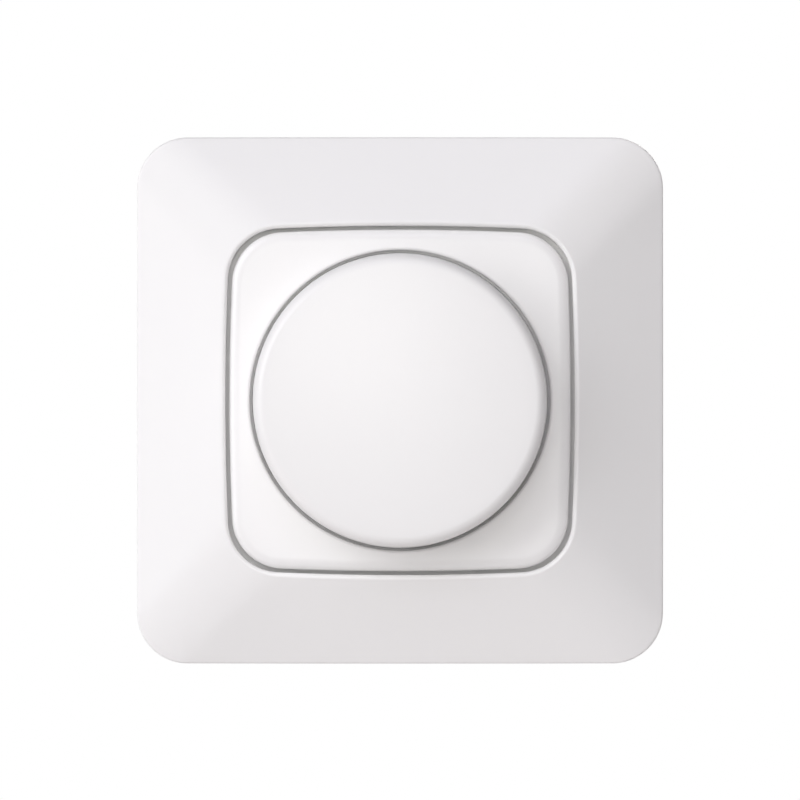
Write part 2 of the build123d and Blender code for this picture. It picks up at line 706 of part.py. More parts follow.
def electrolytic_capacitor():
    radius = CAN_DIAMETER / 2
    top = board_front + CAN_HEIGHT
    waist = board_front + radius / 2
    neck = radius - CAN_GROOVE
    can = turned([(0, board_front), (radius, board_front), (radius, waist - CAN_GROOVE), (neck, waist),
                  (radius, waist + CAN_GROOVE), (radius, top - CAN_GROOVE), (neck, top), (0, top)])
    can = Pos(can_place[0], can_place[1], 0) * can
    for lead in can_leads:
        can += disc(LEAD_DIAMETER / 2, board_back - PIN_TAIL, board_front, at=lead)
    return can


def power_transistor(side):
    top = lid_back - PAD_THICKNESS
    low = top - POWER_THICKNESS
    body = block(power_length, POWER_WIDTH, low, top, at=(power_start + power_length / 2, power_middle))
    body += block(TAB_LENGTH, POWER_WIDTH, top - TAB_THICKNESS, top,
                  at=(power_start + power_length + TAB_LENGTH / 2, power_middle))
    level = (low + top) / 2
    for row in leg_rows:
        body += block(2 * LEG_WIDTH, LEG_WIDTH, level - LEG_WIDTH / 2, level,
                      at=(leg_place + LEG_WIDTH / 2, row))
        body += block(LEG_WIDTH, LEG_WIDTH / 2, board_back - PIN_TAIL, level, at=(leg_place, row))
    if side < 0:
        body = mirror(body, about=Plane.YZ)
    return body


def thermal_pad(side):
    length = power_length + TAB_LENGTH
    return block(length, POWER_WIDTH, lid_back - PAD_THICKNESS, lid_back,
                 at=(side * (power_start + length / 2), power_middle))


def control_chip():
    foot = CHIP_HEIGHT / 8
    chip = block(CHIP_WIDTH, CHIP_LENGTH, board_front + foot, board_front + CHIP_HEIGHT, at=chip_place)
    for step in range(4):
        row = chip_place[1] + (step - 1.5) * CHIP_LENGTH / 4
        chip += block(CHIP_SPAN, CHIP_LENGTH / 12, board_front, board_front + CHIP_HEIGHT / 3,
                      at=(chip_place[0], row))
    return chip


# Terminals: a wire goes in from below, and its screw is turned from the back

def terminal_cage(x):
    cage = block(cage_width, CAGE_LENGTH, cage_back, board_back, at=(x, cage_middle))
    cage -= block(WIRE_WIDTH, CAGE_LENGTH, wire_level - WIRE_HEIGHT / 2, wire_level + WIRE_HEIGHT / 2,
                  at=(x, cage_middle))
    cage -= disc(CLAMP_DIAMETER / 2 + SEAT_GAP, cage_back, cage_back + CAGE_BACK, at=(x, cage_middle))
    return cage + disc(LEAD_DIAMETER / 2, board_back, board_front + PIN_TAIL, at=(x, cage_middle))


def terminal_screws():
    screws = []
    for x in cage_places:
        low = clamp_head_top - CLAMP_HEAD_HEIGHT
        screw = disc(CLAMP_DIAMETER / 2, clamp_head_top, cage_back + CAGE_BACK - RUN_GAP, at=(x, cage_middle))
        screw += disc(CLAMP_HEAD_DIAMETER / 2, low, clamp_head_top, at=(x, cage_middle))
        screw -= block(CLAMP_HEAD_DIAMETER, SCREW_SLOT, low, low + CLAMP_HEAD_HEIGHT / 2, at=(x, cage_middle))
        screws.append(screw)
    return screws


# Every piece under its own name, hung on the wall: Z up, its face towards -Y

pieces = {
    "cover_frame": cover_frame(),
    "centre_plate": centre_plate(),
    "knob": knob(),
    "socket_ring": socket_ring(),
    "shaft": shaft(),
    "shaft_clip": shaft_clip(),
    "pot_bushing": pot_bushing(),
    "locknut": locknut(),
    "pot_case": pot_case(),
    "wiper_rotor": wiper_rotor(),
    "wiper_contact": wiper_contact(),
    "resistor_wafer": resistor_wafer(),
    "pot_pins": pot_pins(),
    "switch_body": switch_body(),
    "switch_plunger": switch_plunger(),
    "contact_bridge": contact_bridge(),
    "fixed_contact_1": fixed_contact(contact_places[0]),
    "fixed_contact_2": fixed_contact(contact_places[1]),
    "return_spring": return_spring(),
    "support_plate": support_plate(),
    "heat_plate": heat_plate(),
    "base_casing": base_casing(),
    "casing_screws": casing_screws(),
    "circuit_board": circuit_board(),
    "choke_core": choke_core(),
    "choke_winding": choke_winding(),
    "film_capacitor": film_capacitor(),
    "electrolytic_capacitor": electrolytic_capacitor(),
    "power_transistor_1": power_transistor(-1),
    "power_transistor_2": power_transistor(1),
    "thermal_pad_1": thermal_pad(-1),
    "thermal_pad_2": thermal_pad(1),
    "control_chip": control_chip(),
    "terminal_cage_1": terminal_cage(cage_places[0]),
    "terminal_cage_2": terminal_cage(cage_places[1]),
    "terminal_cage_3": terminal_cage(cage_places[2]),
    "terminal_screws": terminal_screws(),
}

for name, piece in pieces.items():
    solids = piece if isinstance(piece, list) else [piece]
    found = [solid for entry in solids for solid in entry.solids()]
    hung = [Rot(90, 0, 0) * solid for solid in found]
    export_step(Compound(children=hung) if len(hung) > 1 else hung[0], f"parts/{name}.step")
    print(name, len(hung), round(sum(solid.volume for solid in hung), 1))
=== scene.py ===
# %% [markdown]
# # Dressing a rotary dimmer
# The object is a push-and-turn dimmer for a wall box: a white cover frame, a centre plate with a
# round well, and a flat knob in the well. Behind them sits a metal and plastic insert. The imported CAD
# model is loaded first and stays as it is. Everything below stands on it, in metres, in the same frame:
# X is to the right, Z is up, and the front looks towards -Y.

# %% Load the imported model
import json
import math

import bmesh
import bpy
from mathutils import Matrix, Vector


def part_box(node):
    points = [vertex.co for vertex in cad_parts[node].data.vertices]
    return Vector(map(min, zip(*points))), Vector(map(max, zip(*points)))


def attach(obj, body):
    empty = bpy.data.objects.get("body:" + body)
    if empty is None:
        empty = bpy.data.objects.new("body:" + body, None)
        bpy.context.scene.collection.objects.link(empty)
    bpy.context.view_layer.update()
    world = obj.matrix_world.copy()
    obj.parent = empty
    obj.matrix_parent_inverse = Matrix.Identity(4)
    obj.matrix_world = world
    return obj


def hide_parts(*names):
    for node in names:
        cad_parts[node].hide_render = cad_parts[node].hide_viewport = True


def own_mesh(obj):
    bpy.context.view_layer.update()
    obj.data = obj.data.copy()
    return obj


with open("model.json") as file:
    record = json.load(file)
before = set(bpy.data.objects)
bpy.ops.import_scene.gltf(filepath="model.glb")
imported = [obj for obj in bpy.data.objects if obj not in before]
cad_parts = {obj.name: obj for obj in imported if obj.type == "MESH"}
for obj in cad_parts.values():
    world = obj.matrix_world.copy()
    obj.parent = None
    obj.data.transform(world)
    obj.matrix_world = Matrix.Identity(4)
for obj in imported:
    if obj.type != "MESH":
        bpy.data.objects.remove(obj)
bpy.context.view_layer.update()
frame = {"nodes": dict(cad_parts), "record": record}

MM = 0.001
scene = bpy.context.scene
print("nodes loaded:", len(frame["nodes"]))

# %% [markdown]
# ## Writing node trees as sums
# Shaders and Geometry Nodes are both node trees, and sums drawn as nodes are hard to read in a script.
# A small class wraps one output socket, so that a + b * 2 adds the Math nodes by itself. Every other
# node comes from one method, which makes the node, sets it up and then feeds its sockets.

# %% A wire, and the sheet it is drawn on
class Wire:
    """One output of a node. Python's sums on it add Math nodes to the same sheet."""

    def __init__(self, sheet, socket):
        self.sheet = sheet
        self.socket = socket

    def other(self, name):
        return Wire(self.sheet, self.socket.node.outputs[name])

    def sum_of(self, operation, *values):
        return self.sheet.add("ShaderNodeMath", {"operation": operation}, dict(enumerate(values)))

    def __add__(self, value):
        return self.sum_of("ADD", self, value)

    def __radd__(self, value):
        return self.sum_of("ADD", value, self)

    def __sub__(self, value):
        return self.sum_of("SUBTRACT", self, value)

    def __rsub__(self, value):
        return self.sum_of("SUBTRACT", value, self)

    def __mul__(self, value):
        return self.sum_of("MULTIPLY", self, value)

    def __rmul__(self, value):
        return self.sum_of("MULTIPLY", value, self)

    def __truediv__(self, value):
        return self.sum_of("DIVIDE", self, value)

    def __rtruediv__(self, value):
        return self.sum_of("DIVIDE", value, self)

    def __mod__(self, value):
        return self.sum_of("MODULO", self, value)

    def __lt__(self, value):
        return self.sum_of("LESS_THAN", self, value)

    def __gt__(self, value):
        return self.sum_of("GREATER_THAN", self, value)

    def floor(self):
        return self.sum_of("FLOOR", self)

    def sin(self):
        return self.sum_of("SINE", self)

    def cos(self):
        return self.sum_of("COSINE", self)


class Sheet:
    """A node tree that is drawn on from Python."""

    def __init__(self, tree):
        self.tree = tree

    def add(self, kind, settings=None, values=None, out=0):
        node = self.tree.nodes.new(kind)
        for name, setting in (settings or {}).items():
            setattr(node, name, setting)
        for name, value in (values or {}).items():
            if isinstance(value, Wire):
                self.tree.links.new(value.socket, node.inputs[name])
            else:
                node.inputs[name].default_value = value
        return Wire(self, node.outputs[out]) if len(node.outputs) else None


print("node helpers ready")

# %% [markdown]
# ## White moulded plastic
# The three visible pieces are one material: a white thermoset with a satin skin, a touch warm, with
# the faint waviness that a polished mould leaves. A flat white would look like paper. Three noises at
# very different scales do the work: a wide, weak one shifts the tone and the sheen from place to place,
# a middling one gives the waviness, and a fine one gives a shallow grain that breaks up the reflections
# of the lamps.

# %% The white finish
FLOW_SCALE = 45.0
WAVE_SCALE = 160.0
GRAIN_SCALE = 2400.0
WAVE_DEPTH = 0.04
GRAIN_DEPTH = 0.02


def new_finish(name):
    material = bpy.data.materials.new(name)
    material.use_nodes = True
    material.node_tree.nodes.clear()
    return material, Sheet(material.node_tree)


def white_moulding():
    material, sheet = new_finish("white_moulding")
    place = sheet.add("ShaderNodeTexCoord", out="Object")
    flow = sheet.add("ShaderNodeTexNoise", {}, {"Vector": place, "Scale": FLOW_SCALE, "Detail": 2.0})
    grain = sheet.add("ShaderNodeTexNoise", {}, {"Vector": place, "Scale": GRAIN_SCALE, "Detail": 3.0})
    wave = sheet.add("ShaderNodeTexNoise", {}, {"Vector": place, "Scale": WAVE_SCALE, "Detail": 1.0})
    colour = sheet.add("ShaderNodeMix", {"data_type": "RGBA"},
                       {0: flow, 6: (0.895, 0.888, 0.884, 1), 7: (0.910, 0.902, 0.898, 1)}, out=2)
    peel = sheet.add("ShaderNodeBump", {},
                     {"Strength": 0.10, "Distance": GRAIN_DEPTH * MM, "Height": grain})
    skin = sheet.add("ShaderNodeBump", {},
                     {"Strength": 0.10, "Distance": WAVE_DEPTH * MM, "Height": wave, "Normal": peel})
    shader = sheet.add("ShaderNodeBsdfPrincipled", {},
                       {"Base Color": colour, "Roughness": 0.27 + grain * 0.04 + flow * 0.03,
                        "IOR": 1.49, "Normal": skin})
    sheet.add("ShaderNodeOutputMaterial", {}, {"Surface": shader})
    return material


white = white_moulding()
print("finish made:", white.name)

# %% [markdown]
# ## One rule for the three white mouldings
# Frame, plate and knob are all stacks of rings. A ring is four wide side arcs joined by four corner
# arcs, and a plain square or a circle is a special case of that. The frame's sloping faces are ruled:
# straight lines run from the square edge to the bowed rim of the opening. So one Geometry Nodes tree
# can make all three: it takes two outlines and a section, and each point of the section says how far
# a ring lies between the outlines, how far it is inset, and how high it is. A subdivided box would
# never hold such even edge rounds.

# %% The ring loft tree
OUTLINE_SIZES = ("corner radius", "corner centre", "side radius", "side centre", "sweep")
LOFT_SIZES = [f"{which} {size}" for which in ("outer", "inner") for size in OUTLINE_SIZES]
STEPS_ROUND = 256
MERGE_MM = 0.001


def new_tree(name, inputs):
    """A Geometry Nodes tree with named inputs. Returns its sheet and the wires of the inputs."""
    tree = bpy.data.node_groups.new(name, "GeometryNodeTree")
    tree.interface.new_socket("Geometry", in_out="INPUT", socket_type="NodeSocketGeometry")
    for label, kind in inputs:
        tree.interface.new_socket(label, in_out="INPUT", socket_type=kind)
    tree.interface.new_socket("Finish", in_out="INPUT", socket_type="NodeSocketMaterial")
    tree.interface.new_socket("Geometry", in_out="OUTPUT", socket_type="NodeSocketGeometry")
    sheet = Sheet(tree)
    first = sheet.add("NodeGroupInput")
    return sheet, {socket.name: Wire(sheet, socket) for socket in first.socket.node.outputs if socket.name}


def end_tree(sheet, shape, finish):
    """Every tree ends the same way: real geometry, then its finish."""
    real = sheet.add("GeometryNodeRealizeInstances", {}, {"Geometry": shape})
    dressed = sheet.add("GeometryNodeSetMaterial", {}, {"Geometry": real, "Material": finish})
    sheet.add("NodeGroupOutput", {}, {"Geometry": dressed})
    return sheet.tree


def outline_point(given, which, quarter, along, grown):
    """Where a ring passes, along its quarter from 0 to 1: the side arc first, then the corner arc."""
    corner, centre, side, middle, sweep = (given[f"{which} {size}"] for size in OUTLINE_SIZES)
    on_side = along < 0.5
    on_corner = 1.0 - on_side
    corner_angle = sweep + (math.pi / 2 - sweep * 2.0) * (along * 2.0 - 1.0)
    angle = on_side * sweep * (along * 4.0 - 1.0) + on_corner * corner_angle
    radius = on_side * side + on_corner * corner + grown
    x = on_side * middle + on_corner * centre + radius * angle.cos()
    y = on_corner * centre + radius * angle.sin()
    turn = quarter * (math.pi / 2)
    return x * turn.cos() - y * turn.sin(), x * turn.sin() + y * turn.cos()


def ring_loft_tree():
    inputs = [(size, "NodeSocketFloat") for size in LOFT_SIZES] + [("Steps round", "NodeSocketInt")]
    sheet, given = new_tree("ring loft", inputs)
    section = given["Geometry"]
    steps = given["Steps round"]
    rings = sheet.add("GeometryNodeAttributeDomainSize", {"component": "MESH"}, {"Geometry": section})
    grid = sheet.add("GeometryNodeMeshGrid", {}, {"Vertices X": rings, "Vertices Y": steps + 1.0})
    index = sheet.add("GeometryNodeInputIndex")
    ring = ((index + 0.5) / (steps + 1.0)).floor()
    step = (index - ring * (steps + 1.0)) % steps
    quarter = (step * 4.0 / steps).floor()
    along = step * 4.0 / steps - quarter
    here = sheet.add("GeometryNodeSampleIndex", {"data_type": "FLOAT_VECTOR"},
                     {"Geometry": section, "Value": sheet.add("GeometryNodeInputPosition"), "Index": ring})
    between = sheet.add("ShaderNodeSeparateXYZ", {}, {0: here})
    inner_inset = sheet.add("GeometryNodeInputNamedAttribute", {"data_type": "FLOAT"},
                            {"Name": "inner_inset"})
    inner_grown = sheet.add("GeometryNodeSampleIndex", {"data_type": "FLOAT"},
                            {"Geometry": section, "Value": inner_inset, "Index": ring})
    outer_x, outer_y = outline_point(given, "outer", quarter, along, 0.0 - between.other("Y"))
    inner_x, inner_y = outline_point(given, "inner", quarter, along, inner_grown)
    x = outer_x + (inner_x - outer_x) * between
    y = outer_y + (inner_y - outer_y) * between
    spot = sheet.add("ShaderNodeCombineXYZ", {}, {"X": x, "Y": 0.0 - between.other("Z"), "Z": y})
    bent = sheet.add("GeometryNodeSetPosition", {}, {"Geometry": grid.other("Mesh"), "Position": spot})
    closed = sheet.add("GeometryNodeMergeByDistance", {}, {"Geometry": bent, "Distance": MERGE_MM * MM})
    return end_tree(sheet, closed, given["Finish"])


ring_loft = ring_loft_tree()
print("ring loft nodes:", len(ring_loft.nodes))

# %% [markdown]
# ## From a tree to a plain mesh
# A modifier keeps its values by the identifier of each socket, so a helper looks the identifiers up,
# sets them, evaluates the object once and keeps the result as a plain mesh at the origin. Edges that
# are truly sharp are marked, and all the rest is shaded smooth.

# %% Run a tree once
SHARP_ANGLE = 35.0


def plain_object(name, mesh):
    piece = bpy.data.objects.new(name, mesh)
    scene.collection.objects.link(piece)
    return piece


def evaluated_mesh(piece):
    """What an object's modifiers make of it, as a plain mesh of its own."""
    return bpy.data.meshes.new_from_object(piece.evaluated_get(bpy.context.evaluated_depsgraph_get()))


def smooth(mesh):
    """Faces outwards, everything smooth except truly sharp edges."""
    work = bmesh.new()
    work.from_mesh(mesh)
    bmesh.ops.recalc_face_normals(work, faces=work.faces)
    work.to_mesh(mesh)
    work.free()
    mesh.shade_smooth()
    mesh.set_sharp_from_angle(angle=math.radians(SHARP_ANGLE))


def grown_by(tree, name, seed, sizes, finish=white):
    """Runs a tree on a small starting mesh and returns the result as a plain object."""
    start = plain_object(name + "_start", seed)
    modifier = start.modifiers.new("grow", "NODES")
    modifier.node_group = tree
    values = dict(sizes, Finish=finish)
    for item in tree.interface.items_tree:
        if item.in_out == "INPUT" and item.name in values:
            modifier[item.identifier] = values[item.name]
    mesh = evaluated_mesh(start)
    bpy.data.objects.remove(start)
    smooth(mesh)
    return plain_object(name, mesh)


print("a sharp edge is over degrees:", SHARP_ANGLE)

# %% [markdown]
# ## Outlines and sections
# A moulding is described as a toolmaker would: by its outline from the front and by the section of its
# wall. An outline is five numbers, for bowed sides that run smoothly into round corners. A section is
# a list of points, and its rounds are arcs of a few steps each.

# %% Outlines, arcs and mouldings
def bowed(half, corner, bow):
    """The numbers of an outline with bowed sides, in metres. Sizes are in millimetres."""
    middle = half - bow
    reach = bow - corner
    centre = (middle + math.sqrt(2 * reach ** 2 - middle ** 2)) / 2
    sweep = math.atan2(centre, centre - middle)
    return (corner * MM, centre * MM, bow * MM, middle * MM, sweep)


def circle(radius, sweep):
    """A round outline, split at the same angles as a bowed one so that the points face each other."""
    return (radius * MM, 0.0, radius * MM, 0.0, sweep)


def moulding(name, section, outer, inner):
    """A ring loft from section points (between, outer inset, inner inset, height) in millimetres."""
    mesh = bpy.data.meshes.new(name)
    mesh.from_pydata([(b, o * MM, h * MM) for b, o, i, h in section], [], [])
    insets = mesh.attributes.new("inner_inset", "FLOAT", "POINT")
    insets.data.foreach_set("value", [i * MM for b, o, i, h in section])
    sizes = dict(zip(LOFT_SIZES, outer + inner))
    sizes["Steps round"] = STEPS_ROUND
    return grown_by(ring_loft, name, mesh, sizes)


def arc(centre, radius, start, end, steps, squash=1.0):
    """Points (across, up) on an arc, squashed in height if need be. Angles go from across towards up."""
    turns = [math.radians(start + (end - start) * step / steps) for step in range(steps + 1)]
    return [(centre[0] + radius * math.cos(t), centre[1] + radius * squash * math.sin(t)) for t in turns]


print("rings have steps:", STEPS_ROUND)

# %% [markdown]
# ## Cover frame
# The frame is an 85 mm square with four sloping faces that climb to a rounded rim. Its section is walked
# once round, like the outline of a cut wall: up the outer side, over the edge round, along the slope,
# over the rim, down into the opening, along the ledge that carries the plate, and back under the shell.
# Rings close to both ends of the slope keep the shading of the wide faces flat right up to the rounds.
# A groove in the ledge, right under the gap round the plate, keeps the gap evenly dark.

# %% Section of the frame
FRAME_HALF = 42.5
FRAME_CORNER = 8.2
EDGE_HEIGHT = 4.0
RIM_TOP = 10.0
SHELL_WALL = 2.0
EDGE_ROUND = 0.4
RIM_ROUND = 0.6
LEDGE_WIDTH = 2.0
LEDGE_TOP = 6.4
LEDGE_BACK = 4.6
GROOVE_WIDTH = 1.0
GROOVE_FLOOR = 5.7
WALL_FOOT = 1.2
NEARLY_STRAIGHT = 20000.0
PLATE_HALF = 27.5
OPENING_CORNER = 8.4
SIDE_BOW = 442.0
GAP = 0.6
SLOPE_RINGS = (0.012, 0.25, 0.5, 0.75, 0.988)

frame_edge = bowed(FRAME_HALF, FRAME_CORNER, NEARLY_STRAIGHT)
opening = bowed(PLATE_HALF + GAP, OPENING_CORNER, SIDE_BOW + GAP)
slope = (RIM_TOP - EDGE_HEIGHT) / (FRAME_HALF - PLATE_HALF - GAP)
tilt = math.degrees(math.atan(slope))
stretch = math.sqrt(1 + slope ** 2)
edge_centre = (EDGE_ROUND, EDGE_HEIGHT + EDGE_ROUND * (slope - stretch))
rim_centre = (RIM_ROUND, RIM_TOP - RIM_ROUND * (slope + stretch))
edge_arc = arc(edge_centre, EDGE_ROUND, 180, 90 + tilt, steps=5)
rim_arc = arc(rim_centre, RIM_ROUND, 90 - tilt, 180, steps=9)
slope_start, slope_end = edge_arc[-1], rim_arc[0]
roof = SHELL_WALL * stretch
roof_low = EDGE_HEIGHT + SHELL_WALL * slope - roof
roof_high = RIM_TOP - SHELL_WALL * slope - roof
groove = [(0, GROOVE_FLOOR), (-GROOVE_WIDTH, GROOVE_FLOOR), (-GROOVE_WIDTH, LEDGE_TOP)]
ledge = [(-LEDGE_WIDTH, LEDGE_TOP), (-LEDGE_WIDTH, LEDGE_BACK), (0, LEDGE_BACK)]
inner_wall = [(0, WALL_FOOT), (SHELL_WALL, WALL_FOOT), (SHELL_WALL, roof_high)]

frame_section = [(0, SHELL_WALL, 0, 0), (0, 0, 0, 0)]
frame_section += [(0, across, 0, up) for across, up in edge_arc]
for share in SLOPE_RINGS:
    up = slope_start[1] + (slope_end[1] - slope_start[1]) * share
    frame_section.append((share, slope_start[0], slope_end[0], up))
frame_section += [(1, 0, across, up) for across, up in rim_arc + groove + ledge + inner_wall]
frame_section += [(0, SHELL_WALL, 0, roof_low), (0, SHELL_WALL, 0, 0)]
cover_frame = moulding("cover_frame_skin", frame_section, frame_edge, opening)
print("frame slope in degrees:", round(tilt, 1), "faces:", len(cover_frame.data.polygons))

# %% [markdown]
# ## Centre plate
# The plate is the bowed square inside the frame, with a round well for the knob. The same tree runs from
# the bowed outline to a circle: over the soft edge, whose round is squashed so that it rolls off slowly,
# flat across the face, over the small round at the well's rim, and down to the floor with the hole for
# the threaded bushing. A narrow lip above the floor catches some light in the ring round the knob.

# %% Section of the plate
PLATE_FRONT = 9.6
PLATE_CORNER = 8.4
PLATE_ROUND = 1.8
PLATE_SQUASH = 0.62
WELL_RADIUS = 24.16
WELL_FLOOR = 7.2
FLOOR_BACK = 5.6
WELL_RIM = 0.5
WELL_FOOT = 0.4
LIP_TOP = 7.9
LIP_WIDTH = 0.34
WELL_SHELL = 1.6
BUSHING_HOLE = 5.1
BOSS_RADIUS = 10.0
FACE_RINGS = (0.03, 0.35, 0.65, 0.97)

plate_edge = bowed(PLATE_HALF, PLATE_CORNER, SIDE_BOW)
corner_start = (plate_edge[3] + plate_edge[2] * math.cos(plate_edge[4]),
                plate_edge[2] * math.sin(plate_edge[4]))
split_angle = math.atan2(corner_start[1], corner_start[0])
well = circle(WELL_RADIUS, split_angle)
plate_round = (PLATE_ROUND, PLATE_FRONT - PLATE_ROUND * PLATE_SQUASH)
plate_arc = arc(plate_round, PLATE_ROUND, 180, 90, steps=14, squash=PLATE_SQUASH)
well_rim = arc((WELL_RIM, PLATE_FRONT - WELL_RIM), WELL_RIM, 90, 180, steps=5)
lip = [(0, LIP_TOP), (-LIP_WIDTH, LIP_TOP)]
foot_arc = arc((-LIP_WIDTH - WELL_FOOT, WELL_FLOOR + WELL_FOOT), WELL_FOOT, 0, -90, steps=4)
hole = BUSHING_HOLE - WELL_RADIUS
boss = BOSS_RADIUS - WELL_RADIUS
underside = [(hole, WELL_FLOOR), (hole, WALL_FOOT), (boss, WALL_FOOT), (boss, FLOOR_BACK),
             (WELL_SHELL, FLOOR_BACK), (WELL_SHELL, LEDGE_TOP)]

plate_section = [(0, 0, 0, LEDGE_TOP)]
plate_section += [(0, across, 0, up) for across, up in plate_arc]
plate_section += [(share, PLATE_ROUND, WELL_RIM, PLATE_FRONT) for share in FACE_RINGS]
plate_section += [(1, 0, across, up) for across, up in well_rim + lip + foot_arc + underside]
plate_section.append((0, 0, 0, LEDGE_TOP))
centre_plate = moulding("centre_plate_skin", plate_section, plate_edge, well)
print("plate faces:", len(centre_plate.data.polygons))

# %% [markdown]
# ## Knob
# The knob is a shallow cup, turned round one axis: a face that is crowned by a millimetre, a generous
# round at its edge, a side with a little draft so that it leaves the mould, and a hollow back. The crown
# shows in the photograph as a soft change of tone across the face. It is the same rule with a circle
# as the outline. The round touches both the crown and the side, and a few steps find its centre.

# %% Section of the knob
KNOB_RADIUS = 23.72
KNOB_FRONT = 19.6
KNOB_BACK = 9.1
KNOB_DRAFT = 1.5
KNOB_ROUND = 1.9
KNOB_CROWN = 1.0
KNOB_WALL = 1.8
KNOB_FOOT = 0.25
INNER_DRAFT = 0.2
INNER_BEVEL = 0.4
FITTING_STEPS = 12

draft = math.radians(KNOB_DRAFT)
shoulder = KNOB_RADIUS - (KNOB_FRONT - KNOB_CROWN - KNOB_BACK) * math.tan(draft)
crown_radius = (shoulder ** 2 + KNOB_CROWN ** 2) / (2 * KNOB_CROWN)
crown_middle = KNOB_FRONT - crown_radius
side_reach = KNOB_RADIUS * math.cos(draft) + KNOB_BACK * math.sin(draft) - KNOB_ROUND
round_up = KNOB_FRONT - KNOB_CROWN - KNOB_ROUND
for step in range(FITTING_STEPS):
    round_across = (side_reach - round_up * math.sin(draft)) / math.cos(draft)
    round_up = crown_middle + math.sqrt((crown_radius - KNOB_ROUND) ** 2 - round_across ** 2)
crown_end = math.degrees(math.atan2(round_up - crown_middle, round_across))
ceiling = KNOB_FRONT - KNOB_CROWN - KNOB_WALL
knob_face = arc((0, crown_middle), crown_radius, 90, crown_end, steps=12)
knob_face += arc((round_across, round_up), KNOB_ROUND, crown_end, KNOB_DRAFT, steps=14)[1:]
foot_centre = (KNOB_RADIUS - KNOB_FOOT, KNOB_BACK + KNOB_FOOT)
knob_face += arc(foot_centre, KNOB_FOOT, KNOB_DRAFT, -90, steps=4)
bore = KNOB_RADIUS - KNOB_WALL
knob_back = [(bore, KNOB_BACK), (bore - INNER_DRAFT, ceiling - INNER_BEVEL),
             (bore - INNER_DRAFT - INNER_BEVEL, ceiling), (0, ceiling)]
knob_section = [(0, KNOB_RADIUS - across, 0, up) for across, up in knob_face + knob_back]
knob_edge = circle(KNOB_RADIUS, math.pi / 4)
knob_cup = moulding("knob_cup", knob_section, knob_edge, knob_edge)
print("knob faces:", len(knob_cup.data.polygons))

# %% [markdown]
# ## What repeats round the axis
# Ribs, notches and the casing's screws all stand in equal steps round the knob's axis. Copies could be
# placed one by one, but a tree with a count does it with one drawing. Beside it stand two helpers: one
# draws a flat piece from its side view, and one joins plain objects, so that each piece stays one mesh.

# %% Copies round the axis
def round_the_axis_tree():
    sheet, given = new_tree("copies round the axis", [("Count", "NodeSocketInt")])
    spots = sheet.add("GeometryNodePoints", {}, {"Count": given["Count"]})
    index = sheet.add("GeometryNodeInputIndex")
    turn = index * (2 * math.pi) / given["Count"]
    turned = sheet.add("ShaderNodeCombineXYZ", {}, {"Y": turn})
    copies = sheet.add("GeometryNodeInstanceOnPoints", {},
                       {"Points": spots, "Instance": given["Geometry"], "Rotation": turned})
    return end_tree(sheet, copies, given["Finish"])


def slab(profile, low, high):
    """A flat piece from (x, height) points, between two levels across it, all in millimetres."""
    mesh = bpy.data.meshes.new("slab")
    work = bmesh.new()
    near = [work.verts.new((x * MM, -up * MM, low * MM)) for x, up in profile]
    far = [work.verts.new((x * MM, -up * MM, high * MM)) for x, up in profile]
    work.faces.new(near)
    work.faces.new(far)
    for i in range(len(profile)):
        j = (i + 1) % len(profile)
        work.faces.new((near[i], near[j], far[j], far[i]))
    bmesh.ops.recalc_face_normals(work, faces=work.faces)
    work.to_mesh(mesh)
    work.free()
    return mesh


def joined(target, *others):
    """Adds other plain objects to the first, as one mesh."""
    work = bmesh.new()
    work.from_mesh(target.data)
    for other in others:
        work.from_mesh(other.data)
        bpy.data.objects.remove(other)
    work.to_mesh(target.data)
    work.free()
    return target


copies_round = round_the_axis_tree()
print("nodes that copy round the axis:", len(copies_round.nodes))

# %% [markdown]
# ## Ribs behind the mouldings
# Thin mouldings are stiffened by ribs: a pair behind each side of the frame, and six spokes inside the
# knob. Each one reaches a little way into the wall that carries it, so that no gap shows at its root.

# %% Ribs and spokes
SIDES = 4
RIB_PLACE = 18.0
RIB_HALF = 0.6
RIB_INSIDE = 29.5
RIB_OUTSIDE = 41.0
RIB_FOOT = 1.5
RIB_ROOT_LOW = 0.2
RIB_ROOT_HIGH = 0.6
SPOKES = 6
SPOKE_INSIDE = 4.8
SPOKE_OUTSIDE = 21.9
SPOKE_DEPTH = 1.5
SPOKE_HALF = 0.5
ROOT = 0.3


def pair(mesh_a, mesh_b):
    both = plain_object("pair", mesh_a)
    mesh = joined(both, plain_object("pair_other", mesh_b)).data
    bpy.data.objects.remove(both)
    return mesh


rib_outline = [(RIB_INSIDE, RIB_FOOT), (RIB_OUTSIDE, RIB_FOOT),
               (RIB_OUTSIDE, roof_low + RIB_ROOT_LOW), (RIB_INSIDE, roof_high + RIB_ROOT_HIGH)]
rib_pair = pair(slab(rib_outline, RIB_PLACE - RIB_HALF, RIB_PLACE + RIB_HALF),
                slab(rib_outline, -RIB_PLACE - RIB_HALF, -RIB_PLACE + RIB_HALF))
frame_ribs = grown_by(copies_round, "frame_ribs", rib_pair, {"Count": SIDES})
spoke_outline = [(SPOKE_INSIDE, ceiling + ROOT), (SPOKE_INSIDE, ceiling - SPOKE_DEPTH),
                 (SPOKE_OUTSIDE, ceiling - SPOKE_DEPTH), (SPOKE_OUTSIDE, ceiling + ROOT)]
spoke = slab(spoke_outline, -SPOKE_HALF, SPOKE_HALF)
knob_spokes = grown_by(copies_round, "knob_spokes", spoke, {"Count": SPOKES})
print("ribs and spokes:", 2 * SIDES, SPOKES)

# %% [markdown]
# ## Notches and the knob's socket
# Two details finish the backs. Four notches in the wall under the frame's ledge leave room for the heads
# of the wall screws, and a Boolean cuts them out of the closed shell. The knob carries a short socket for
# the shaft, which is one more ring loft. Then each white moulding is one mesh, and takes its node's place.

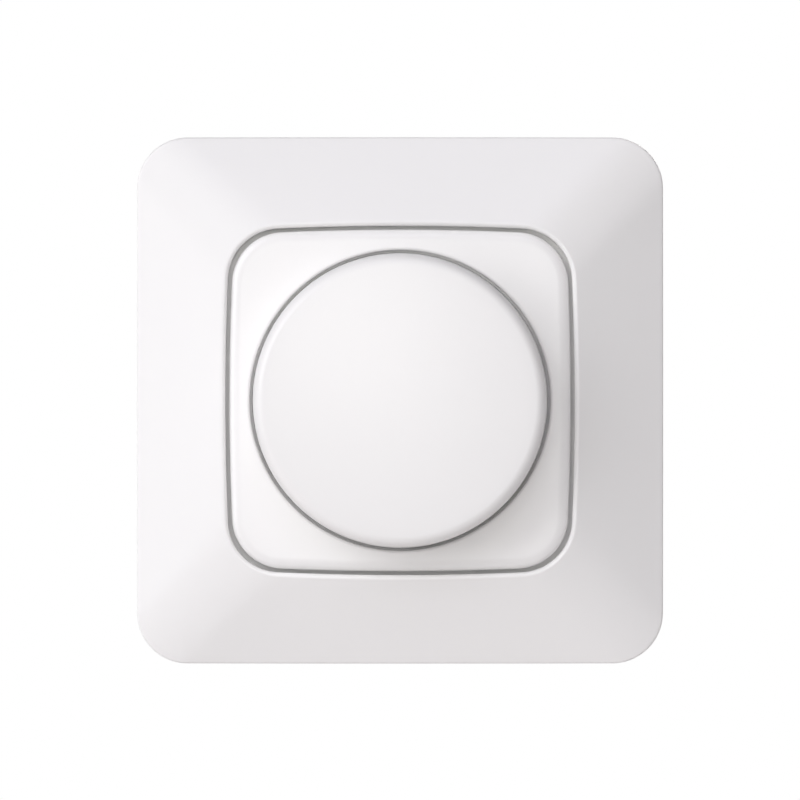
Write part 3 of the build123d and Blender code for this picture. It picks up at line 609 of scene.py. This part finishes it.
# %% Cut the notches, add the ribs and the socket
NOTCH_LENGTH = 16.2
NOTCH_HALF = 4.5
NOTCH_PLACE = 30.0
NOTCH_FOOT = 0.9
NOTCH_TOP = 4.0
SOCKET_RADIUS = 5.2
SOCKET_BORE = 3.1
SOCKET_BACK = 12.7
SOCKET_BEVEL = 0.3


def cut(piece, tool):
    """Takes one solid out of another and keeps the result as a plain mesh."""
    modifier = piece.modifiers.new("cut", "BOOLEAN")
    modifier.operation = "DIFFERENCE"
    modifier.solver = "EXACT"
    modifier.object = tool
    mesh = evaluated_mesh(piece)
    piece.modifiers.clear()
    piece.data = mesh
    bpy.data.objects.remove(tool)
    smooth(mesh)
    return piece


notch_corners = ((-1, NOTCH_FOOT), (1, NOTCH_FOOT), (1, NOTCH_TOP), (-1, NOTCH_TOP))
notch_outline = [(NOTCH_PLACE + end * NOTCH_LENGTH / 2, up) for end, up in notch_corners]
notch = slab(notch_outline, -NOTCH_HALF, NOTCH_HALF)
notches = grown_by(copies_round, "notches", notch, {"Count": SIDES})
cover_frame = joined(cut(cover_frame, notches), frame_ribs)
socket_wall = [(SOCKET_RADIUS, ceiling + ROOT), (SOCKET_RADIUS, SOCKET_BACK + SOCKET_BEVEL),
               (SOCKET_RADIUS - SOCKET_BEVEL, SOCKET_BACK), (SOCKET_BORE, SOCKET_BACK),
               (SOCKET_BORE, ceiling + ROOT)]
socket_section = [(0, SOCKET_RADIUS - across, 0, up) for across, up in socket_wall]
socket_edge = circle(SOCKET_RADIUS, math.pi / 4)
knob_socket = moulding("knob_socket", socket_section, socket_edge, socket_edge)
knob = joined(knob_cup, knob_spokes, knob_socket)
knob.name = "knob_skin"

for piece, body, node in ((cover_frame, "insert", "cover_frame"), (centre_plate, "insert", "centre_plate"),
                          (knob, "knob", "knob")):
    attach(piece, body)
    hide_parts(node)
    print(piece.name, "faces:", len(piece.data.polygons))

# %% [markdown]
# ## Finishes of the insert
# Behind the white pieces are ordinary materials: zinc-plated sheet, rolled aluminium, brass, a grey
# moulding with the even grain of a spark-eroded mould, enamelled copper, and so on. Two families cover
# nearly all of them. A moulding has a tone that drifts and a grain of a real size. A metal has fine marks
# drawn out along the direction in which it was rolled, drawn or turned.

# %% Mouldings and metals
DRIFT_SCALE = 80.0
BLOOM_SCALE = 140.0
MARKS_MM = 0.22
MARKS_DEPTH = 0.01


def moulded(name, dark, light, roughness, grain_mm, depth_mm):
    material, sheet = new_finish(name)
    place = sheet.add("ShaderNodeTexCoord", out="Object")
    drift = sheet.add("ShaderNodeTexNoise", {}, {"Vector": place, "Scale": DRIFT_SCALE, "Detail": 3.0})
    grain = sheet.add("ShaderNodeTexNoise", {},
                      {"Vector": place, "Scale": 1 / (grain_mm * MM), "Detail": 4.0})
    colour = sheet.add("ShaderNodeMix", {"data_type": "RGBA"},
                       {0: drift * 0.7 + grain * 0.3, 6: dark + (1,), 7: light + (1,)}, out=2)
    bump = sheet.add("ShaderNodeBump", {}, {"Strength": 0.6, "Distance": depth_mm * MM, "Height": grain})
    shader = sheet.add("ShaderNodeBsdfPrincipled", {},
                       {"Base Color": colour, "Roughness": roughness - 0.06 + grain * 0.12,
                        "IOR": 1.5, "Normal": bump})
    sheet.add("ShaderNodeOutputMaterial", {}, {"Surface": shader})
    return material


def metal(name, dull, bright, roughness, drawn):
    """drawn says how far the marks are pulled out along X, Y and Z."""
    material, sheet = new_finish(name)
    place = sheet.add("ShaderNodeTexCoord", out="Object")
    pulled = sheet.add("ShaderNodeMapping", {}, {"Vector": place, "Scale": tuple(1 / d for d in drawn)})
    marks = sheet.add("ShaderNodeTexNoise", {},
                      {"Vector": pulled, "Scale": 1 / (MARKS_MM * MM), "Detail": 3.0})
    bloom = sheet.add("ShaderNodeTexNoise", {}, {"Vector": place, "Scale": BLOOM_SCALE, "Detail": 4.0})
    colour = sheet.add("ShaderNodeMix", {"data_type": "RGBA"},
                       {0: bloom * 0.6 + marks * 0.4, 6: dull + (1,), 7: bright + (1,)}, out=2)
    bump = sheet.add("ShaderNodeBump", {}, {"Strength": 0.35, "Distance": MARKS_DEPTH * MM, "Height": marks})
    shader = sheet.add("ShaderNodeBsdfPrincipled", {},
                       {"Base Color": colour, "Metallic": 1.0,
                        "Roughness": roughness - 0.08 + bloom * 0.12 + marks * 0.08, "Normal": bump})
    sheet.add("ShaderNodeOutputMaterial", {}, {"Surface": shader})
    return material


print("marks in metal, in mm:", MARKS_MM)

# %% [markdown]
# ## One finish for each material slot
# The record names a material slot for every node, so the finishes are kept under the same names. The
# colours are those of the bare material, dark and light, and the next number is the roughness. For a
# moulding the last two are the size and depth of its grain in millimetres.

# %% The finishes
EVEN = (1, 1, 1)
ALONG_X = (30, 1, 1)
ALONG_Z = (1, 1, 30)
finishes = {
    "white_plastic": white,
    "grey_plastic": moulded("grey_casing", (0.34, 0.35, 0.36), (0.43, 0.44, 0.45), 0.55, 0.32, 0.06),
    "black_plastic": moulded("black_moulding", (0.012, 0.012, 0.013), (0.028, 0.028, 0.030), 0.45, 0.2, 0.02),
    "natural_nylon": moulded("natural_nylon", (0.62, 0.58, 0.47), (0.70, 0.67, 0.57), 0.40, 0.5, 0.01),
    "yellow_plastic": moulded("film_capacitor_case", (0.62, 0.40, 0.05), (0.72, 0.50, 0.09), 0.35, 0.4, 0.01),
    "blue_sleeve": moulded("shrunk_sleeve", (0.010, 0.035, 0.13), (0.020, 0.060, 0.20), 0.28, 0.8, 0.01),
    "silicone_pad": moulded("silicone_pad", (0.33, 0.35, 0.37), (0.42, 0.44, 0.46), 0.75, 0.15, 0.02),
    "ferrite": moulded("ferrite", (0.020, 0.020, 0.021), (0.055, 0.053, 0.050), 0.70, 0.12, 0.03),
    "phenolic_board": moulded("phenolic_wafer", (0.22, 0.12, 0.05), (0.32, 0.19, 0.09), 0.50, 0.3, 0.01),
    "zinc_steel": metal("zinc_plated_sheet", (0.44, 0.46, 0.48), (0.74, 0.75, 0.75), 0.34, ALONG_X),
    "bright_steel": metal("turned_steel", (0.52, 0.52, 0.51), (0.68, 0.67, 0.65), 0.24, ALONG_X),
    "spring_steel": metal("spring_steel", (0.36, 0.35, 0.34), (0.52, 0.51, 0.49), 0.28, EVEN),
    "aluminium_sheet": metal("rolled_aluminium", (0.74, 0.75, 0.76), (0.86, 0.87, 0.88), 0.32, ALONG_Z),
    "brass": metal("brass", (0.62, 0.44, 0.18), (0.80, 0.60, 0.28), 0.26, ALONG_X),
    "contact_bronze": metal("contact_bronze", (0.50, 0.30, 0.16), (0.68, 0.44, 0.26), 0.26, ALONG_X),
    "copper_wire": metal("enamelled_copper", (0.48, 0.18, 0.06), (0.66, 0.28, 0.12), 0.22, EVEN),
}
print("finishes:", len(finishes))

# %% [markdown]
# ## Circuit board
# A board is a green lacquer over copper tracks. The tracks show as slightly raised, lighter bands with
# square turns. A Voronoi texture measured in blocks gives such bands without drawing a layout. With this
# last finish in hand, every CAD node is dressed by the slot that the record gives it.

# %% The board's lacquer
TRACK_SCALE = 260.0
TRACKS_A_BLOCK = 9.0
TRACK_SHARE = 0.45
LACQUER_DARK = (0.010, 0.085, 0.030, 1)
LACQUER_LIGHT = (0.022, 0.150, 0.055, 1)


def board_lacquer():
    material, sheet = new_finish("board_lacquer")
    place = sheet.add("ShaderNodeTexCoord", out="Object")
    cells = sheet.add("ShaderNodeTexVoronoi", {"distance": "CHEBYCHEV"},
                      {"Vector": place, "Scale": TRACK_SCALE})
    tracks = ((cells * TRACKS_A_BLOCK) % 1.0) < TRACK_SHARE
    speckle = sheet.add("ShaderNodeTexNoise", {}, {"Vector": place, "Scale": 900.0, "Detail": 2.0})
    colour = sheet.add("ShaderNodeMix", {"data_type": "RGBA"},
                       {0: tracks * 0.8 + speckle * 0.2, 6: LACQUER_DARK, 7: LACQUER_LIGHT}, out=2)
    bump = sheet.add("ShaderNodeBump", {}, {"Strength": 0.5, "Distance": 0.03 * MM, "Height": tracks})
    shader = sheet.add("ShaderNodeBsdfPrincipled", {},
                       {"Base Color": colour, "Roughness": 0.26 + speckle * 0.1, "Coat Weight": 0.3,
                        "Normal": bump})
    sheet.add("ShaderNodeOutputMaterial", {}, {"Surface": shader})
    return material


finishes["green_board"] = board_lacquer()
slot_of = {part["node"]: part["material_slot"] for part in frame["record"]["subparts"]}
for name, node in frame["nodes"].items():
    node.data.materials.clear()
    node.data.materials.append(finishes[slot_of[name]])
print("nodes dressed:", len(slot_of))

# %% [markdown]
# ## Softening cut edges
# The casing and the sheets of the insert keep their CAD shape, but a real edge is never perfectly sharp:
# a stamped sheet rolls over a little, and a moulding has a small radius that catches the light. A copy
# of the node is merged, its flat faces are put back together, and a Bevel modifier takes the edges off.

# %% Copies with soft edges
SOFT_EDGES = {"base_casing": 0.2, "support_plate": 0.15, "heat_plate": 0.15}
DOUBLES_MM = 0.002
FLAT_ANGLE = 1.0
CUT_ANGLE = 40.0


def softened(node, body, radius_mm):
    mesh = frame["nodes"][node].data.copy()
    work = bmesh.new()
    work.from_mesh(mesh)
    bmesh.ops.remove_doubles(work, verts=work.verts, dist=DOUBLES_MM * MM)
    bmesh.ops.dissolve_limit(work, angle_limit=math.radians(FLAT_ANGLE), verts=work.verts, edges=work.edges)
    work.to_mesh(mesh)
    work.free()
    if "sharp_face" in mesh.attributes:
        mesh.attributes.remove(mesh.attributes["sharp_face"])
    mesh.shade_smooth()
    piece = plain_object(node + "_soft", mesh)
    bevel = piece.modifiers.new("soft edges", "BEVEL")
    bevel.width = radius_mm * MM
    bevel.segments = 2
    bevel.limit_method = "ANGLE"
    bevel.angle_limit = math.radians(CUT_ANGLE)
    bevel.use_clamp_overlap = True
    even = piece.modifiers.new("even shading", "WEIGHTED_NORMAL")
    even.weight = 100
    piece.data = evaluated_mesh(piece)
    piece.modifiers.clear()
    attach(piece, body)
    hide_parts(node)
    print(piece.name, "faces:", len(piece.data.polygons))


for node, radius_mm in SOFT_EDGES.items():
    softened(node, "insert", radius_mm)

# %% [markdown]
# ## A screw
# A screw is worth drawing once, with its domed head, slot and thread, and copying where the CAD has one.
# The thread is a stack of rings whose radius goes in and out, which reads as a thread at this size and
# stays light. The slot is cut by two bars: a long one for a flat blade and a short one across it.

# %% A blank screw and its recess
SCREW_SIDES = 24
DOME_SHARE = 0.25
FLAT_SHARE = 0.55
SHOULDER_SHARE = 0.85
SHOULDER_DROP = 0.4
THREAD_ROOT = 0.78


def screw(head_radius, head_height, shank_radius, length, pitch, facing):
    """A screw along Y with its head's underside at the origin. facing is where the head looks, 1 or -1."""
    dome = head_height * DOME_SHARE
    profile = [(0, head_height), (head_radius * FLAT_SHARE, head_height),
               (head_radius * SHOULDER_SHARE, head_height - dome * SHOULDER_DROP),
               (head_radius, head_height - dome), (head_radius, 0.0), (shank_radius, 0.0)]
    for turn in range(int(length / pitch)):
        profile.append((shank_radius, -pitch * (turn + 0.25)))
        profile.append((shank_radius * THREAD_ROOT, -pitch * (turn + 0.75)))
    profile.append((0, -length))
    work = bmesh.new()
    turns = [2 * math.pi * side / SCREW_SIDES for side in range(SCREW_SIDES)]
    rings = []
    for radius, up in profile:
        if radius == 0:
            rings.append([work.verts.new((0, facing * up * MM, 0))] * SCREW_SIDES)
            continue
        rings.append([work.verts.new((radius * math.cos(t) * MM, facing * up * MM, radius * math.sin(t) * MM))
                      for t in turns])
    for low, high in zip(rings, rings[1:]):
        for side in range(SCREW_SIDES):
            after = (side + 1) % SCREW_SIDES
            corners = list(dict.fromkeys((low[side], low[after], high[after], high[side])))
            if len(corners) > 2:
                work.faces.new(corners)
    bmesh.ops.recalc_face_normals(work, faces=work.faces)
    mesh = bpy.data.meshes.new("screw")
    work.to_mesh(mesh)
    work.free()
    return mesh


def recess(width_mm, slot_mm, cross_mm, depth_mm, top_mm, facing):
    """Two bars to cut with. slot_mm and cross_mm are how far they reach from the screw's axis."""
    bars = []
    for half_x, half_z in ((slot_mm, width_mm / 2), (width_mm / 2, cross_mm)):
        work = bmesh.new()
        bmesh.ops.create_cube(work, size=1.0)
        size = Vector((2 * half_x * MM, 2 * depth_mm * MM, 2 * half_z * MM))
        bmesh.ops.scale(work, vec=size, verts=work.verts)
        bmesh.ops.translate(work, vec=Vector((0, facing * top_mm * MM, 0)), verts=work.verts)
        mesh = bpy.data.meshes.new("bar")
        work.to_mesh(mesh)
        work.free()
        bars.append(plain_object("bar", mesh))
    return bars


def recessed(mesh, bars):
    head = plain_object("screw_blank", mesh)
    for bar in bars:
        cut(head, bar)
    mesh = head.data
    bpy.data.objects.remove(head)
    return mesh


screw_finish = metal("passivated_screw", (0.24, 0.25, 0.27), (0.38, 0.39, 0.41), 0.42, EVEN)
print("screw sides:", SCREW_SIDES, "finish:", screw_finish.name)

# %% [markdown]
# ## Screws in a row and in the corners
# Three terminal screws stand in a row behind the casing, and four casing screws stand in its corners. The
# row gets a tree of its own, with a first place and a step, and the corners use the copies round the
# axis. Places and lengths are read from the boxes of the CAD nodes, so they follow the source.

# %% Place the screws
CLAMP_HEAD = 2.4
CLAMP_HEIGHT = 1.5
CLAMP_SHANK = 1.5
CLAMP_THREAD = 0.5
LID_HEAD = 2.3
LID_HEIGHT = 1.5
LID_SHANK = 1.25
LID_THREAD = 0.45
SLOT_WIDTH = 0.7
SLOT_DEPTH = 0.9
SLOT_PAST_HEAD = 0.2
CROSS_REACH = 1.3


def row_tree():
    inputs = [("Count", "NodeSocketInt"), ("First", "NodeSocketVector"), ("Step", "NodeSocketVector")]
    sheet, given = new_tree("copies in a row", inputs)
    spots = sheet.add("GeometryNodeMeshLine", {},
                      {"Count": given["Count"], "Start Location": given["First"], "Offset": given["Step"]})
    copies = sheet.add("GeometryNodeInstanceOnPoints", {}, {"Points": spots, "Instance": given["Geometry"]})
    return end_tree(sheet, copies, given["Finish"])


low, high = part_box("terminal_screws")
clamp_pitch = ((high.x - low.x) / MM - 2 * CLAMP_HEAD) / 2
clamp_length = (high.y - low.y) / MM - CLAMP_HEIGHT
clamp = recessed(screw(CLAMP_HEAD, CLAMP_HEIGHT, CLAMP_SHANK, clamp_length, CLAMP_THREAD, 1),
                 recess(SLOT_WIDTH, CLAMP_HEAD + SLOT_PAST_HEAD, CROSS_REACH, SLOT_DEPTH, CLAMP_HEIGHT, 1))
first = Vector((low.x + CLAMP_HEAD * MM, high.y - CLAMP_HEIGHT * MM, (low.z + high.z) / 2))
row = {"Count": 3, "First": first, "Step": Vector((clamp_pitch * MM, 0, 0))}
terminal_screws = grown_by(row_tree(), "terminal_screw_row", clamp, row, screw_finish)

low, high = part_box("casing_screws")
lid_length = (high.y - low.y) / MM - LID_HEIGHT
lid_screw = recessed(screw(LID_HEAD, LID_HEIGHT, LID_SHANK, lid_length, LID_THREAD, -1),
                     recess(SLOT_WIDTH, LID_HEAD + SLOT_PAST_HEAD, CROSS_REACH, SLOT_DEPTH, LID_HEIGHT, -1))
corner = (high.x - LID_HEAD * MM, low.y + LID_HEIGHT * MM, high.z - LID_HEAD * MM)
lid_screw.transform(Matrix.Translation(corner))
casing_screws = grown_by(copies_round, "casing_screw_ring", lid_screw, {"Count": 4}, screw_finish)
print("pitch of the terminal screws in mm:", round(clamp_pitch, 2))
for piece, node in ((terminal_screws, "terminal_screws"), (casing_screws, "casing_screws")):
    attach(piece, "insert")
    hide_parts(node)
    print(piece.name, "faces:", len(piece.data.polygons))

# %% [markdown]
# ## Return spring
# A coil spring under the plunger brings the knob back after a push. Round wire is a circle swept along a
# spiral, so a tree with two curve nodes makes it from its turns and sizes.

# %% A spring from a spiral
SPRING_TURNS = 4.0
SPRING_WIRE = 0.4
SPRING_FREE = 0.03
STEPS_A_TURN = 48
WIRE_SIDES = 12


def spring_tree():
    inputs = [(size, "NodeSocketFloat") for size in ("Turns", "Coil radius", "Length", "Wire radius")]
    sheet, given = new_tree("coil spring", inputs + [("Seat", "NodeSocketVector")])
    radius = given["Coil radius"]
    coil = sheet.add("GeometryNodeCurveSpiral", {},
                     {"Resolution": STEPS_A_TURN, "Rotations": given["Turns"], "Start Radius": radius,
                      "End Radius": radius, "Height": given["Length"]})
    wire = sheet.add("GeometryNodeCurvePrimitiveCircle", {},
                     {"Resolution": WIRE_SIDES, "Radius": given["Wire radius"]})
    swept = sheet.add("GeometryNodeCurveToMesh", {},
                      {"Curve": coil, "Profile Curve": wire, "Fill Caps": True})
    stood = sheet.add("GeometryNodeTransform", {},
                      {"Geometry": swept, "Rotation": (math.pi / 2, 0, 0), "Translation": given["Seat"]})
    return end_tree(sheet, stood, given["Finish"])


low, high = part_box("return_spring")
end_room = (SPRING_WIRE / 2 + SPRING_FREE) * MM
spring = grown_by(spring_tree(), "return_spring_coil", bpy.data.meshes.new("empty"),
                  {"Turns": SPRING_TURNS, "Wire radius": SPRING_WIRE / 2 * MM,
                   "Coil radius": (high.x - low.x - SPRING_WIRE * MM) / 2,
                   "Length": high.y - low.y - 2 * end_room, "Seat": Vector((0, high.y - end_room, 0))},
                  finishes["spring_steel"])
joints = frame["record"]["behaviour"]["joints"]
travel = next(joint["range_m"][1] for joint in joints if joint["name"] == "push")
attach(spring, "insert")
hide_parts("return_spring")
1 - travel / (high.y - low.y)
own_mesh(spring)
print("spring length in mm:", round((high.y - low.y) / MM, 2), "faces:", len(spring.data.polygons))

# %% [markdown]
# ## Floor and background
# The photograph has a clean white background and no shadow in view. The object hangs in front of the camera
# as on a wall, so the floor lies below the picture and shows only from other sides, where it takes the
# shadow. It throws none itself, so that the lamps below it reach the object. Towards its rim it fades
# into the background. The world is white where the camera or a reflection looks at it and a faint grey
# where it only lights the object, so the plastic isn't washed out.

# %% Floor and world
FLOOR_LEVEL = -0.11
FLOOR_REACH = 0.75
FADE_START = 0.12
FADE_SHARE = 0.92
PAPER_GLOW = 0.45
AMBIENT = 0.05
PURE_WHITE = (1, 1, 1, 1)


def seen_directly(sheet):
    """1 for rays that show the background to the eye, 0 for rays that light the object."""
    ray = sheet.add("ShaderNodeLightPath", out="Is Camera Ray")
    total = ray + ray.other("Is Glossy Ray") + ray.other("Is Transmission Ray")
    return total > 0.5


def pale_floor():
    material, sheet = new_finish("pale_floor")
    place = sheet.add("ShaderNodeTexCoord", out="Object")
    spread = sheet.add("ShaderNodeVectorMath", {"operation": "LENGTH"}, {0: place}, out="Value")
    fade = sheet.add("ShaderNodeMapRange", {"interpolation_type": "SMOOTHSTEP"},
                     {"Value": spread, "From Min": FADE_START, "From Max": FLOOR_REACH * FADE_SHARE,
                      "To Min": PAPER_GLOW, "To Max": 1.0})
    cloud = sheet.add("ShaderNodeTexNoise", {}, {"Vector": place, "Scale": 30.0, "Detail": 3.0})
    paper = sheet.add("ShaderNodeMix", {"data_type": "RGBA"},
                      {0: cloud, 6: (0.86, 0.86, 0.86, 1), 7: (0.90, 0.90, 0.90, 1)}, out=2)
    matt = sheet.add("ShaderNodeBsdfPrincipled", {}, {"Base Color": paper, "Roughness": 0.8})
    glow = sheet.add("ShaderNodeEmission", {}, {"Color": PURE_WHITE, "Strength": 1.0})
    both = sheet.add("ShaderNodeMixShader", {}, {0: fade * seen_directly(sheet), 1: matt, 2: glow})
    sheet.add("ShaderNodeOutputMaterial", {}, {"Surface": both})
    return material


floor_mesh = bpy.data.meshes.new("floor")
corners = [(x * FLOOR_REACH, y * FLOOR_REACH, 0) for x, y in ((-1, -1), (1, -1), (1, 1), (-1, 1))]
floor_mesh.from_pydata(corners, [], [(0, 1, 2, 3)])
floor_mesh.materials.append(pale_floor())
floor = plain_object("floor", floor_mesh)
floor.location.z = FLOOR_LEVEL
floor.visible_shadow = False

world = bpy.data.worlds.new("studio")
scene.world = world
world.use_nodes = True
world.node_tree.nodes.clear()
sky = Sheet(world.node_tree)
shown = sky.add("ShaderNodeBackground", {}, {"Color": PURE_WHITE, "Strength": 1.0})
lighting = sky.add("ShaderNodeBackground", {}, {"Color": PURE_WHITE, "Strength": AMBIENT})
mixed = sky.add("ShaderNodeMixShader", {}, {0: seen_directly(sky), 1: lighting, 2: shown})
sky.add("ShaderNodeOutputWorld", {}, {"Surface": mixed})
print("floor at mm:", FLOOR_LEVEL / MM, "ambient:", AMBIENT)

# %% [markdown]
# ## Light
# The photograph is lit from the left and a little above: the left slope is almost white, the right one is
# the darkest, and the knob throws a soft shadow to the right and down. Large round area lamps stand in for
# softboxes, so far away that each face gets an even tone, and their power is kept at a plain level, so that
# the white stays just under clipping. A photographer's room isn't grey: the lamps at the top and upper left
# are a little cool, the one at the upper right is warm, and a faint red glow comes from below. Two small
# lamps near the camera's axis look straight into the gap round the plate and the ring round the knob, which
# would be nearly black without them. Three lamps behind light the insert, and hardly touch the front.

# %% Softboxes
def softbox(name, place, size, watts, colour):
    lamp = bpy.data.lights.new(name, "AREA")
    lamp.shape = "DISK"
    lamp.size = size
    lamp.energy = watts
    lamp.color = colour
    holder = bpy.data.objects.new(name, lamp)
    scene.collection.objects.link(holder)
    holder.location = place
    holder.rotation_euler = (-Vector(place)).to_track_quat("-Z", "Y").to_euler()
    holder.visible_camera = False
    print(name, "watts:", watts)


def aside(off_axis, round_axis, distance):
    """A place so many degrees off the knob's axis, in a direction round it counted from the right."""
    off, turn = math.radians(off_axis), math.radians(round_axis)
    return (distance * math.sin(off) * math.cos(turn), -distance * math.cos(off),
            distance * math.sin(off) * math.sin(turn))


WHITE = (1.0, 0.993, 1.0)
CREAM = (0.99, 0.99, 0.955)
COOL = (0.90, 0.915, 1.0)
SKY = (0.905, 0.88, 1.0)
WARM = (1.0, 0.91, 0.86)
GLOW = (1.0, 0.40, 0.30)
FAR = 4.0
WIDE = 2.4
MEDIUM = 0.9
softbox("window", aside(42, 135, FAR), 1.4, 17.3, WHITE)
softbox("upper_left", aside(58, 135, FAR), WIDE, 23.2, COOL)
softbox("left", aside(58, 165, FAR), WIDE, 51.9, WHITE)
softbox("top", aside(40, 90, FAR), WIDE, 24.9, SKY)
softbox("upper_right", aside(40, 45, FAR), WIDE, 7.9, WARM)
softbox("low_left", aside(75, 225, FAR), WIDE, 2.0, GLOW)
softbox("low_right", aside(40, 315, FAR), WIDE, 1.0, GLOW)
softbox("near_axis", aside(14, 115, 0.3), 0.12, 0.115, CREAM)
softbox("on_axis", aside(1.5, 135, 1.2), 0.25, 0.85, CREAM)
softbox("behind_left", (0.7, 1.2, 0.9), MEDIUM, 9.0, WARM)
softbox("behind_right", (-1.1, 1.1, 0.3), MEDIUM, 4.0, WARM)
softbox("behind_low", (0.2, 1.2, -0.9), MEDIUM, 2.0, WARM)

# %% [markdown]
# ## Camera
# The photograph looks straight at the front from far away: the sides of the frame show no perspective.
# A long lens at a metre and a half does the same. The focal length follows from the size of the frame in
# the picture, about 526 of 800 pixels for 85 mm. The knob's axis lies a fraction of a pixel below the
# picture's centre, and the lens shift takes that up.

# %% Camera
CAMERA_DISTANCE = 1.5
PIXELS = 800
FRAME_PIXELS = 526.4
PICTURE_DROP = 0.4
SENSOR = 36.0
camera = bpy.data.objects.new("camera", bpy.data.cameras.new("camera"))
scene.collection.objects.link(camera)
camera.location = (0, -CAMERA_DISTANCE, 0)
camera.rotation_euler = (math.pi / 2, 0, 0)
edge_distance = CAMERA_DISTANCE - EDGE_HEIGHT * MM
camera.data.sensor_width = SENSOR
camera.data.lens = SENSOR * FRAME_PIXELS * edge_distance / (2 * FRAME_HALF * MM) / PIXELS
camera.data.shift_y = PICTURE_DROP / PIXELS
camera.data.clip_start = 0.01
scene.camera = camera
scene.view_settings.view_transform = "Standard"
print("lens in mm:", round(camera.data.lens, 1))
